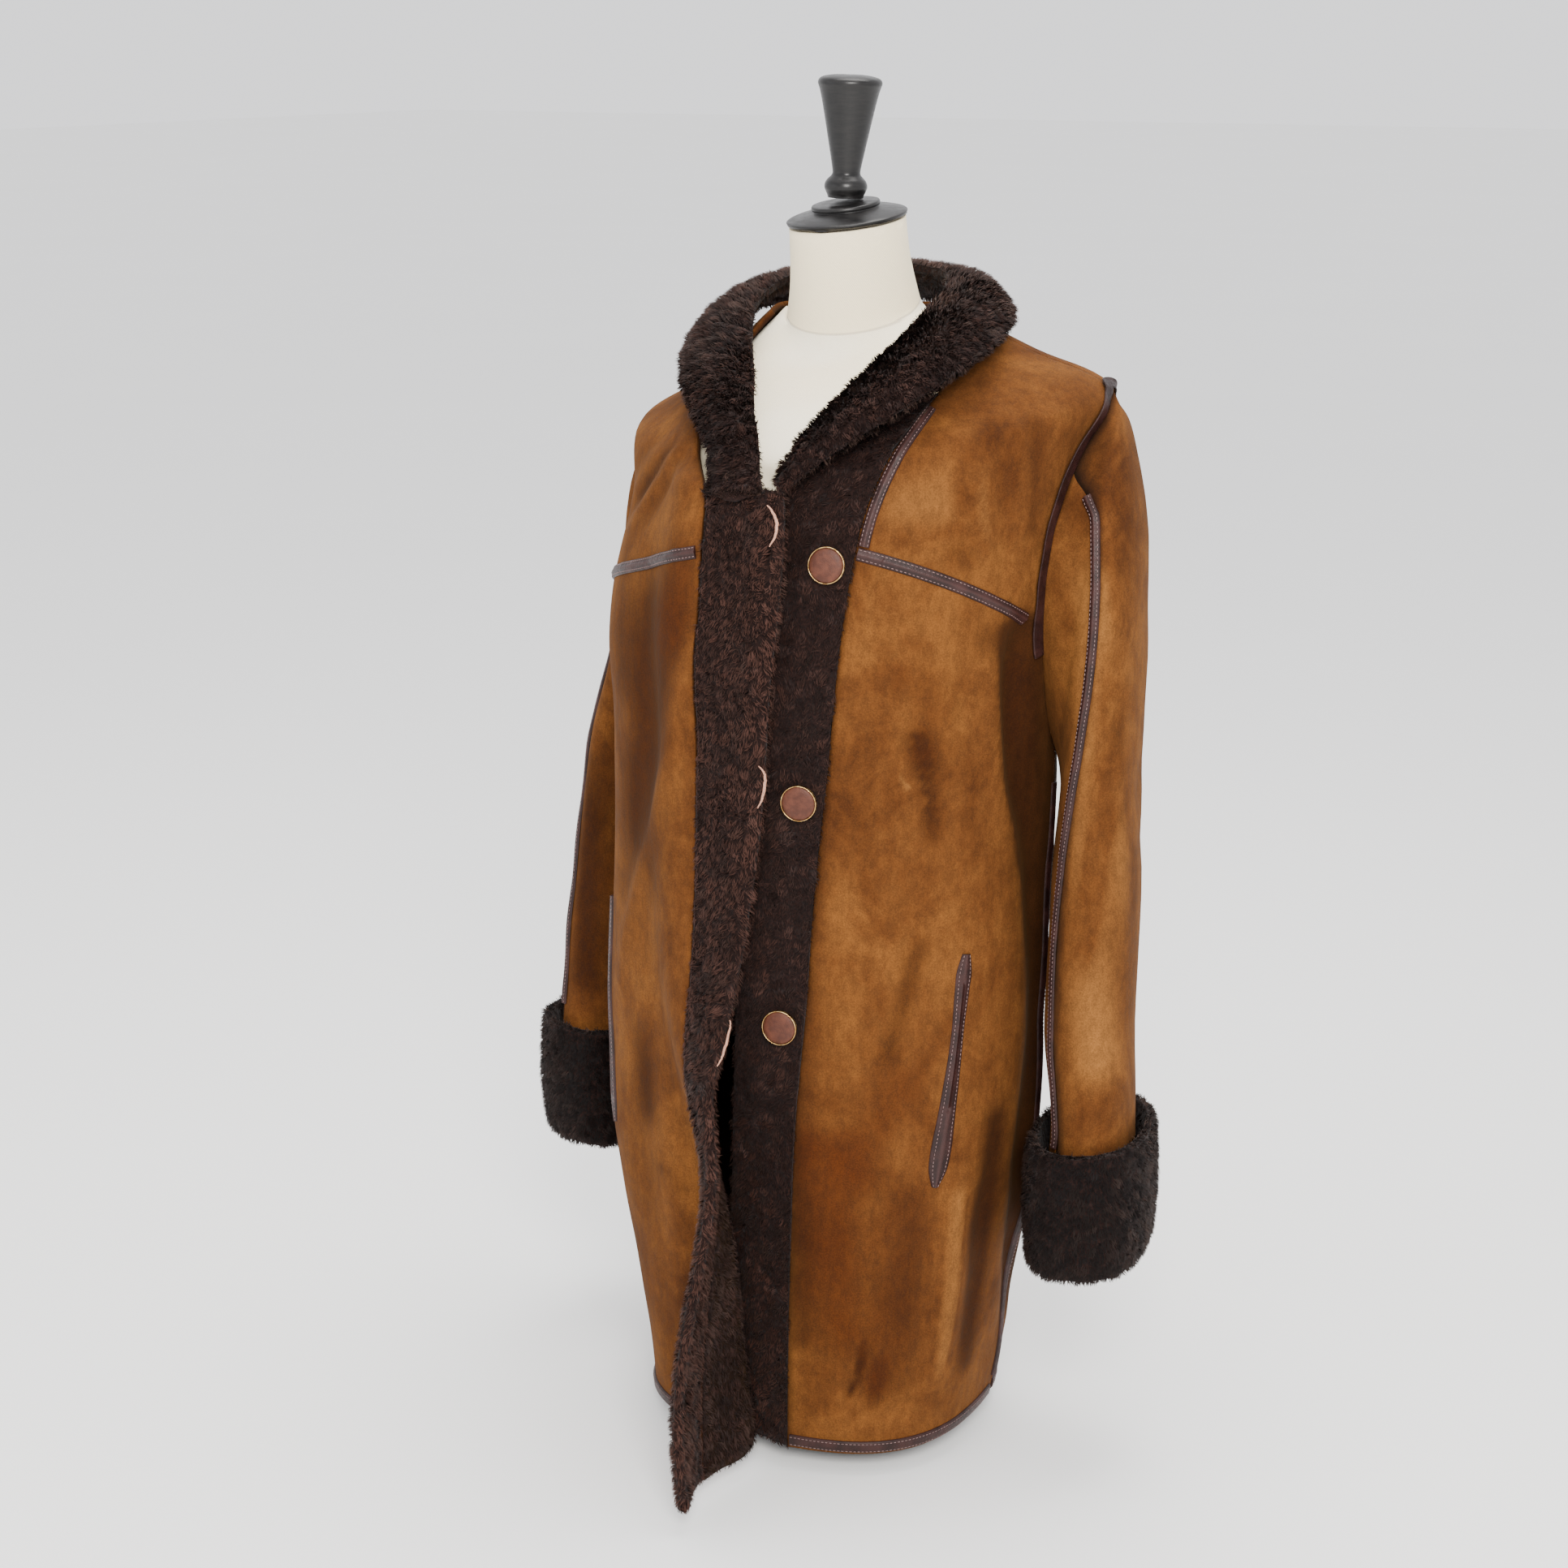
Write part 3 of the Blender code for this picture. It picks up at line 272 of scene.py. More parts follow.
class Finish:
    # a material, and the one way in which its nodes are made
    def __init__(self, name, **fixed):
        self.material = bpy.data.materials.new(name)
        self.material.use_nodes = True
        self.tree = self.material.node_tree
        self.shader = self.tree.nodes["Principled BSDF"]
        for socket, value in fixed.items():
            self.shader.inputs[socket.replace("_", " ")].default_value = value
        self.place = self.node("ShaderNodeTexCoord", {}, {}, "Object")

    def node(self, kind, settings, inputs, output=0):
        made = self.tree.nodes.new(kind)
        for key, value in settings.items():
            setattr(made, key, value)
        for key, value in inputs.items():
            self.join(made.inputs[key], value)
        return Wire(self, made.outputs[output])

    def join(self, socket, value):
        if isinstance(value, Wire):
            self.tree.links.new(value.socket, socket)
        else:
            socket.default_value = value

    def attribute(self, name):
        return self.node("ShaderNodeAttribute", {"attribute_name": name}, {}, "Fac")

    def cloud(self, scale, detail=3.0, rough=0.5, stretch=(1.0, 1.0, 1.0), warp=0.0):
        place = self.node("ShaderNodeMapping", {}, {"Vector": self.place, "Scale": stretch})
        return self.node(
            "ShaderNodeTexNoise",
            {},
            {"Vector": place, "Scale": scale, "Detail": detail, "Roughness": rough, "Distortion": warp},
        )

    def cells(self, scale, feature="F1"):
        return self.node(
            "ShaderNodeTexVoronoi", {"feature": feature}, {"Vector": self.place, "Scale": scale}
        )

    def waves(self, direction, **inputs):
        return self.node(
            "ShaderNodeTexWave", {"bands_direction": direction}, {"Vector": self.place, **inputs}
        )

    def band(self, value, low, high, first=0.0, last=1.0):
        # a soft step from one value to another
        return self.node(
            "ShaderNodeMapRange",
            {"interpolation_type": "SMOOTHSTEP"},
            {"Value": value, "From Min": low, "From Max": high, "To Min": first, "To Max": last},
        )

    def mixed(self, share, first, second, way="MIX"):
        ends = [end if isinstance(end, Wire) else (*end, 1.0) for end in (first, second)]
        return self.node(
            "ShaderNodeMix", {"data_type": "RGBA", "blend_type": way}, {0: share, 6: ends[0], 7: ends[1]}, 2
        )

    def bump(self, height, strength, distance):
        return self.node(
            "ShaderNodeBump", {}, {"Height": height, "Strength": strength, "Distance": distance}
        )

    def paint(self, **links):
        for socket, value in links.items():
            self.join(self.shader.inputs[socket.replace("_", " ")], value)
        return self


suedeLook = {
    "bright": (0.205, 0.085, 0.022),
    "light": (0.142, 0.053, 0.0122),
    "middle": (0.088, 0.030, 0.0072),
    "deep": (0.050, 0.0155, 0.0040),
    "dark": (0.0190, 0.0048, 0.0014),
    "rust": (0.066, 0.0150, 0.0028),
    "lining": (0.0060, 0.0026, 0.0022),
}


def makeSuede():
    finish = Finish(
        "honey_suede", Roughness=0.92, Specular_IOR_Level=0.08, Sheen_Weight=0.03, Sheen_Roughness=0.6
    )
    finish.shader.inputs["Sheen Tint"].default_value = (0.95, 0.50, 0.16, 1.0)
    patches = finish.cloud(8.5, 4.0, 0.6, warp=0.9)
    clouds = finish.cloud(19.0, 5.0, 0.62, warp=1.1)
    streaks = finish.cloud(26.0, 4.0, 0.6, (1.0, 1.0, 0.22), 0.4)
    nap = finish.cloud(170.0, 3.0, 0.65, (1.0, 1.0, 0.55))
    grain = finish.cloud(900.0, 2.0, 0.7)
    paintedShading = finish.attribute("paintedShading")
    rust = finish.attribute("rust")
    tone = 0.42 * patches + 0.34 * clouds + 0.24 * streaks
    colour = finish.mixed(finish.band(tone, 0.36, 0.50), suedeLook["deep"], suedeLook["middle"])
    colour = finish.mixed(finish.band(tone, 0.46, 0.62), colour, suedeLook["light"])
    # painted light in the bright colour where the painted shading is below zero, and painted shade in the
    # dark colour where it is above, broken up by the clouds
    colour = finish.mixed(finish.band(paintedShading, -0.40, -0.02, 0.8, 0.0), colour, suedeLook["bright"])
    paintedShadeMask = finish.band(paintedShading + 0.75 * (clouds - 0.5) * finish.band(paintedShading, 0.02, 0.3), 0.04, 1.0)
    colour = finish.mixed(0.88 * paintedShadeMask, colour, suedeLook["dark"])
    spots = finish.band(clouds * patches, 0.33, 0.45)
    colour = finish.mixed(finish.band(rust + 0.25 * spots, 0.0, 1.0, 0.0, 0.8), colour, suedeLook["rust"])
    speck = finish.band(0.45 * nap + 0.55 * grain, 0.32, 0.70, 0.66, 1.26)
    grey = finish.node("ShaderNodeCombineColor", {}, {0: speck, 1: speck, 2: speck})
    colour = finish.mixed(1.0, colour, grey, "MULTIPLY")
    colour = finish.mixed(finish.attribute("inside"), colour, suedeLook["lining"])
    height = 0.5 * nap + 0.35 * grain + 0.3 * streaks
    dullness = finish.band(nap, 0.3, 0.7, 0.84, 0.98)
    return finish.paint(Base_Color=colour, Roughness=dullness, Normal=finish.bump(height, 0.35, 0.0012))


def makeLeather():
    finish = Finish("brown_binding_leather", Specular_IOR_Level=0.24)
    pores = finish.cells(1150.0)
    wear = finish.cloud(60.0, 4.0, 0.6)
    creases = finish.cloud(320.0, 3.0, 0.6)
    colour = finish.mixed(finish.band(wear, 0.35, 0.72), (0.0125, 0.0042, 0.0036), (0.034, 0.0118, 0.0100))
    # lighter on the raised middle and at the edges: worn leather and a painted highlight
    wearAndHighlight = finish.band(finish.attribute("wearAndHighlight"), 0.3, 1.0, 0.0, 0.40)
    colour = finish.mixed(wearAndHighlight, colour, (0.056, 0.022, 0.019))
    dullness = finish.band(creases, 0.3, 0.7, 0.40, 0.56)
    relief = finish.bump(pores + 0.8 * creases, 0.4, 0.0004)
    return finish.paint(Base_Color=colour, Roughness=dullness, Normal=relief)


def makePile(name, root, low, high):
    # the blades of the fur; "shade" runs from root to tip, "tone" from blade to blade
    finish = Finish(name, Roughness=0.66, Specular_IOR_Level=0.16, Sheen_Weight=0.06, Sheen_Roughness=0.4)
    finish.shader.inputs["Sheen Tint"].default_value = (0.80, 0.50, 0.40, 1.0)
    shade = finish.attribute("shade")
    tone = finish.attribute("tone")
    drift = finish.cloud(38.0, 3.0, 0.6)
    colour = finish.mixed(finish.band(tone + 0.5 * (drift - 0.5), 0.1, 0.95), low, high)
    # painted shade: the blades darken towards their roots, deep in the pile
    colour = finish.mixed(finish.band(shade, 0.0, 0.9, 0.85, 0.0), colour, root)
    return finish.paint(Base_Color=colour)


def makeFleece():
    # the skin and short wool below the pile, and the coat's lining
    finish = Finish("fur_ground", Roughness=0.9, Specular_IOR_Level=0.10, Sheen_Weight=0.05)
    curls = finish.cells(240.0, "SMOOTH_F1")
    drift = finish.cloud(420.0, 3.0, 0.7)
    colour = finish.mixed(finish.band(drift, 0.3, 0.7), (0.0050, 0.0022, 0.0019), (0.017, 0.0074, 0.0058))
    return finish.paint(Base_Color=colour, Normal=finish.bump(curls + 0.6 * drift, 0.8, 0.002))


def makeThread(name, colour, light):
    finish = Finish(name, Roughness=0.5, Specular_IOR_Level=0.5)
    twist = finish.cloud(1500.0, 2.0, 0.5)
    return finish.paint(Base_Color=finish.mixed(finish.band(twist, 0.3, 0.7), colour, light))


def makeBrass():
    finish = Finish("old_brass", Metallic=1.0)
    wear = finish.cloud(260.0, 4.0, 0.6)
    colour = finish.mixed(finish.band(wear, 0.35, 0.7), (0.42, 0.22, 0.07), (0.86, 0.60, 0.27))
    dullness = finish.band(wear, 0.3, 0.7, 0.22, 0.4)
    return finish.paint(Base_Color=colour, Roughness=dullness, Normal=finish.bump(wear, 0.15, 0.0004))


def makeButtonLeather():
    finish = Finish("button_leather", Specular_IOR_Level=0.25)
    pores = finish.cells(1400.0)
    wear = finish.cloud(150.0, 3.0, 0.6)
    colour = finish.mixed(finish.band(wear, 0.3, 0.75), (0.050, 0.0140, 0.0072), (0.100, 0.031, 0.0165))
    dullness = finish.band(wear, 0.3, 0.7, 0.42, 0.6)
    return finish.paint(Base_Color=colour, Roughness=dullness, Normal=finish.bump(pores, 0.35, 0.0004))


# the neck's seam: its height at the middle of the form, and its rise backwards
formLook = {"seam": 0.8559, "seamSlope": 0.37}


def makeJersey():
    finish = Finish("cream_jersey", Specular_IOR_Level=0.2, Sheen_Weight=0.15)
    seam = formLook["seam"]
    knitUp = finish.waves("Z", Scale=420.0, Distortion=1.5, Detail=2.0)
    knitAcross = finish.waves("DIAGONAL", Scale=300.0, Distortion=1.2)
    soft = finish.cloud(16.0, 3.0, 0.5)
    colour = finish.mixed(finish.band(soft, 0.3, 0.7), (0.93, 0.82, 0.60), (0.97, 0.89, 0.70))
    across = finish.node("ShaderNodeSeparateXYZ", {}, {0: finish.place}, 1)
    height = finish.node("ShaderNodeSeparateXYZ", {}, {0: finish.place}, 2) - formLook["seamSlope"] * across
    colour = finish.mixed(finish.band(height, seam, seam + 0.0006), colour, (0.95, 0.82, 0.56))
    line = finish.band(height, seam - 0.0012, seam - 0.0004)
    line = line * finish.band(height, seam + 0.0002, seam + 0.0012, 1.0, 0.0)
    colour = finish.mixed(0.55 * line, colour, (0.46, 0.38, 0.27))
    dullness = finish.band(soft, 0.3, 0.7, 0.8, 0.92)
    relief = finish.bump(knitUp + knitAcross - 2.5 * line, 0.25, 0.0004)
    return finish.paint(Base_Color=colour, Roughness=dullness, Normal=relief)


def makeBlackWood():
    finish = Finish("satin_black_wood", Specular_IOR_Level=0.3, Coat_Weight=0.1, Coat_Roughness=0.25)
    rings = finish.cloud(90.0, 4.0, 0.6, (1.0, 1.0, 6.0))
    colour = finish.mixed(finish.band(rings, 0.35, 0.7), (0.0035, 0.0032, 0.0033), (0.0090, 0.0080, 0.0078))
    dullness = finish.band(rings, 0.3, 0.7, 0.3, 0.44)
    return finish.paint(Base_Color=colour, Roughness=dullness, Normal=finish.bump(rings, 0.08, 0.0005))


def makeSteel():
    finish = Finish("dark_painted_steel", Metallic=0.35, Specular_IOR_Level=0.5)
    speckle = finish.cloud(700.0, 2.0, 0.6)
    scuffs = finish.cloud(45.0, 5.0, 0.65)
    colour = finish.mixed(finish.band(scuffs, 0.45, 0.8), (0.022, 0.021, 0.022), (0.07, 0.066, 0.064))
    dullness = finish.band(scuffs, 0.3, 0.8, 0.38, 0.55)
    return finish.paint(Base_Color=colour, Roughness=dullness, Normal=finish.bump(speckle, 0.2, 0.0004))


suede = makeSuede()
leather = makeLeather()
pileFinish = makePile("fur_pile", (0.0032, 0.0014, 0.0012), (0.0070, 0.0028, 0.0025), (0.080, 0.034, 0.024))
cuffPile = makePile("cuff_pile", (0.0016, 0.0008, 0.0007), (0.0030, 0.0013, 0.0012), (0.040, 0.0165, 0.0120))
fleece = makeFleece()
thread = makeThread("brown_thread", (0.085, 0.044, 0.042), (0.24, 0.150, 0.140))
copperThread = makeThread("copper_thread", (0.25, 0.105, 0.062), (0.52, 0.27, 0.18))
brass = makeBrass()
buttonLeather = makeButtonLeather()
jersey = makeJersey()
blackWood = makeBlackWood()
steel = makeSteel()
print("coat: materials made")

# the upright line that the body's folds go in and out from
bodyAxis = {"low": (0.0, 0.015, 0.0), "high": (0.0, 0.015, 0.9)}


def sleeveAxis(side):
    # the line down a sleeve's middle
    parts = [bpy.data.objects[side + part] for part in ("_top_sleeve", "_under_sleeve")]
    spots = np.concatenate([pointsOf(part) for part in parts])
    low = spots[spots[:, 2] < 0.36].mean(axis=0)
    high = spots[(spots[:, 2] > 0.52) & (spots[:, 2] < 0.68)].mean(axis=0)
    return {"low": tuple(low), "high": tuple(high)}


axes = {"body": bodyAxis, "left": sleeveAxis("left"), "right": sleeveAxis("right")}
coatNodes = ("back", "left_front", "right_front", "left_yoke", "right_yoke")
coatTree = treeOf(*[bpy.data.objects[name] for name in coatNodes])


def groupOf(node):
    side = node.split("_")[0]
    return side if side in axes and ("sleeve" in node or "cuff" in node) else "body"


def outwards(spots, group):
    # the level way out from the axis of the body or a sleeve
    low, high = np.array(axes[group]["low"]), np.array(axes[group]["high"])
    share = (spots[:, 2] - low[2]) / (high[2] - low[2])
    way = spots - (low + share[:, None] * (high - low))
    way[:, 2] = 0.0
    return way / np.maximum(np.linalg.norm(way, axis=1), 1e-6)[:, None]


def onCoat(angle, height):
    # the place on the coat's outside at an angle from the front, to the wearer's left, and a height
    way = Vector((math.sin(math.radians(angle)), -math.cos(math.radians(angle)), 0.0))
    start = Vector((0.0, 0.015, height)) + way * 0.6
    place = coatTree.ray_cast(start, -way, 0.7)[0]
    return tuple(place or start - way * 0.42)


def around(*places):
    # a path by angles and heights, for the back and the far sides
    return [onCoat(angle, height) for angle, height in places]


def crease(width, depth, *path):
    # a soft ridge, or a trough where the depth is less than zero
    return {"width": width, "depth": depth, "path": path}


def shadeAndRustMark(width, paintedShading, rust, *path):
    # a mark of painted shade on the suede, or of painted light where its value is below zero; rust reddens it
    return {"width": width, "paintedShading": paintedShading, "rust": rust, "path": path}


def nearPath(spots, path):
    # distance from a path, and how far along it the nearest place lies
    corners = np.array(path, dtype=float)
    gaps = np.full(len(spots), 9.0)
    shares = np.zeros(len(spots))
    lengths = np.linalg.norm(np.diff(corners, axis=0), axis=1)
    done = 0.0
    for start, end, length in zip(corners[:-1], corners[1:], lengths):
        way = (end - start) / length
        reach = np.clip((spots - start) @ way, 0.0, length)
        gap = np.linalg.norm(spots - start - reach[:, None] * way, axis=1)
        near = gap < gaps
        gaps = np.where(near, gap, gaps)
        shares = np.where(near, (done + reach) / lengths.sum(), shares)
        done += length
    return gaps, shares


# short creases of the left front, with painted shade in their dips and painted highlight on their ridges
pocketDip = (
    (0.1236, -0.0941, 0.5836), (0.1275, -0.0895, 0.5656), (0.1303, -0.0864, 0.5381),
    (0.1322, -0.0841, 0.5104),
)
skirtDip = (
    (0.1275, -0.0922, 0.4287), (0.1211, -0.0987, 0.4016), (0.1169, -0.1028, 0.377),
    (0.1101, -0.1086, 0.3462),
)
pocketRidge = ((0.1143, -0.1008, 0.5576), (0.1254, -0.0908, 0.5331))
seamRidge = ((0.1087, -0.1074, 0.6527), (0.1223, -0.0981, 0.6335))
hemDip = ((0.0965, -0.1145, 0.1123), (0.0913, -0.1162, 0.0896), (0.0849, -0.1183, 0.0686))
folds = [
    # the right front turns at this crease, with a hollow beside it
    crease(0.011, 0.0038,
        (-0.03, -0.149, 0.645), (-0.0414, -0.1472, 0.6005), (-0.0503, -0.1455, 0.5627),
        (-0.0718, -0.1322, 0.5135), (-0.0961, -0.1139, 0.463), (-0.1135, -0.1043, 0.4105),
        (-0.1265, -0.0964, 0.3593),
    ),
    crease(0.02, -0.0055,
        (-0.0929, -0.1148, 0.6608), (-0.0801, -0.1253, 0.6098), (-0.082, -0.121, 0.56),
        (-0.105, -0.105, 0.5), (-0.125, -0.092, 0.44),
    ),
    crease(0.018, -0.003, (-0.0929, -0.119, 0.33), (-0.0976, -0.1172, 0.245), (-0.0878, -0.118, 0.17)),
    crease(0.017, 0.0028, (-0.0645, -0.1273, 0.27), (-0.0535, -0.1312, 0.19), (-0.052, -0.1312, 0.12)),
    # the right yoke, drawn down to the dropped shoulder
    crease(0.007, -0.0036,
        (-0.088, -0.0768, 0.776), (-0.1029, -0.0762, 0.7572), (-0.1214, -0.0679, 0.7364),
        (-0.133, -0.055, 0.716),
    ),
    crease(0.0075, -0.0028,
        (-0.0708, -0.0905, 0.7735), (-0.0752, -0.101, 0.7556), (-0.0929, -0.0947, 0.7336),
        (-0.1063, -0.0902, 0.7167),
    ),
    crease(0.006, 0.0026,
        (-0.079, -0.085, 0.775), (-0.09, -0.09, 0.756), (-0.108, -0.082, 0.735), (-0.121, -0.073, 0.716),
    ),
    crease(0.008, -0.0022, (-0.1, -0.056, 0.79), (-0.122, -0.05, 0.766), (-0.141, -0.038, 0.74)),
    # the left front turns back towards the armhole
    crease(0.0085, 0.0034,
        (0.16, -0.052, 0.65), (0.1614, -0.0487, 0.6229), (0.1606, -0.0421, 0.5829),
        (0.1611, -0.0351, 0.5362), (0.1668, -0.0161, 0.4913),
    ),
    crease(0.013, -0.006,
        (0.173, -0.025, 0.655), (0.1745, -0.024, 0.62), (0.173, -0.019, 0.58), (0.172, -0.01, 0.53),
    ),
    crease(0.007, -0.002, (0.144, -0.076, 0.655), (0.147, -0.073, 0.61), (0.148, -0.069, 0.57)),
    crease(0.006, 0.0018, (0.138, -0.082, 0.65), (0.14, -0.08, 0.61), (0.144, -0.074, 0.56)),
    # the left yoke
    crease(0.0075, -0.0034,
        (0.1603, -0.0436, 0.8007), (0.1661, -0.0492, 0.7618), (0.1683, -0.0461, 0.7152),
        (0.168, -0.043, 0.69),
    ),
    crease(0.0062, 0.0024, (0.154, -0.058, 0.785), (0.157, -0.065, 0.7519), (0.16, -0.06, 0.706)),
    crease(0.0085, -0.0018, (0.1463, -0.0566, 0.7957), (0.148, -0.07, 0.755), (0.15, -0.072, 0.72)),
    crease(0.0055, 0.0024, (0.17, -0.036, 0.804), (0.175, -0.037, 0.765), (0.175, -0.034, 0.725)),
    # the left skirt
    crease(0.01, -0.0022, *pocketDip),
    crease(0.005, 0.0014, *pocketRidge),
    crease(0.0045, 0.0012, *seamRidge),
    crease(0.012, -0.0022, *skirtDip),
    crease(0.011, 0.0036,
        (0.156, -0.065, 0.255), (0.1512, -0.0722, 0.2246), (0.1488, -0.0711, 0.184),
        (0.1468, -0.0687, 0.1552), (0.1417, -0.0692, 0.1145), (0.1365, -0.07, 0.0775),
    ),
    crease(0.012, -0.005,
        (0.168, -0.04, 0.275), (0.1655, -0.0423, 0.2424), (0.1606, -0.0471, 0.1935),
        (0.1564, -0.0435, 0.1542), (0.15, -0.047, 0.1),
    ),
    crease(0.0035, -0.0012, *hemDip),
    crease(0.014, -0.002, (0.13, -0.092, 0.23), (0.124, -0.096, 0.15), (0.119, -0.098, 0.07)),
    # the back and the far side, which hang in long soft flutes from the shoulder blades
    crease(0.021, -0.0055, *around((152, 0.70), (151, 0.58), (149, 0.45), (148, 0.30), (146, 0.12))),
    crease(0.017, 0.004, *around((163, 0.62), (163, 0.45), (162, 0.28), (161, 0.08))),
    crease(0.02, -0.0048, *around((-156, 0.72), (-158, 0.60), (-160, 0.47), (-161, 0.33), (-163, 0.16))),
    crease(0.016, 0.0042, *around((-143, 0.60), (-145, 0.46), (-146, 0.30), (-148, 0.10))),
    crease(0.023, -0.0035, *around((178, 0.56), (179, 0.44), (-179, 0.32), (-178, 0.20))),
    crease(0.01, -0.0032, *around((122, 0.66), (128, 0.60), (136, 0.55))),
    crease(0.01, -0.003, *around((-120, 0.66), (-127, 0.61), (-137, 0.57), (-146, 0.55))),
    crease(0.016, -0.004, *around((-95, 0.42), (-97, 0.32), (-99, 0.20), (-101, 0.08))),
    crease(0.015, 0.0032, *around((-78, 0.40), (-79, 0.28), (-80, 0.12))),
    crease(0.015, -0.0036, *around((104, 0.38), (106, 0.26), (108, 0.10))),
]
sleeveFolds = {
    "left": [
        crease(0.013, -0.0026,
            (0.239, -0.018, 0.64), (0.235, -0.021, 0.56), (0.233, -0.024, 0.48), (0.23, -0.029, 0.4),
        ),
        crease(0.01, 0.0022, (0.246, -0.001, 0.56), (0.244, -0.002, 0.47), (0.243, -0.006, 0.38)),
        crease(0.008, -0.0024, (0.215, -0.025, 0.33), (0.23, -0.03, 0.315), (0.244, -0.018, 0.308)),
        crease(0.006, 0.0016, (0.215, -0.026, 0.3), (0.23, -0.033, 0.288), (0.245, -0.02, 0.285)),
        crease(0.01, -0.0034, (0.215, 0.062, 0.56), (0.235, 0.056, 0.54), (0.248, 0.035, 0.53)),
        crease(0.009, -0.0026, (0.215, 0.062, 0.5), (0.236, 0.054, 0.49), (0.248, 0.033, 0.495)),
    ],
    "right": [
        crease(0.01, -0.0024,
            (-0.2302, 0.0275, 0.4523), (-0.2334, 0.02, 0.3841), (-0.2328, 0.0129, 0.3157),
        ),
        crease(0.009, 0.002, (-0.218, 0.02, 0.59), (-0.223, 0.018, 0.52), (-0.226, 0.015, 0.45)),
        crease(0.01, -0.0034, (-0.21, 0.09, 0.52), (-0.235, 0.085, 0.5), (-0.25, 0.065, 0.492)),
        crease(0.0085, -0.0026, (-0.212, 0.088, 0.45), (-0.235, 0.082, 0.44), (-0.25, 0.06, 0.445)),
    ],
}
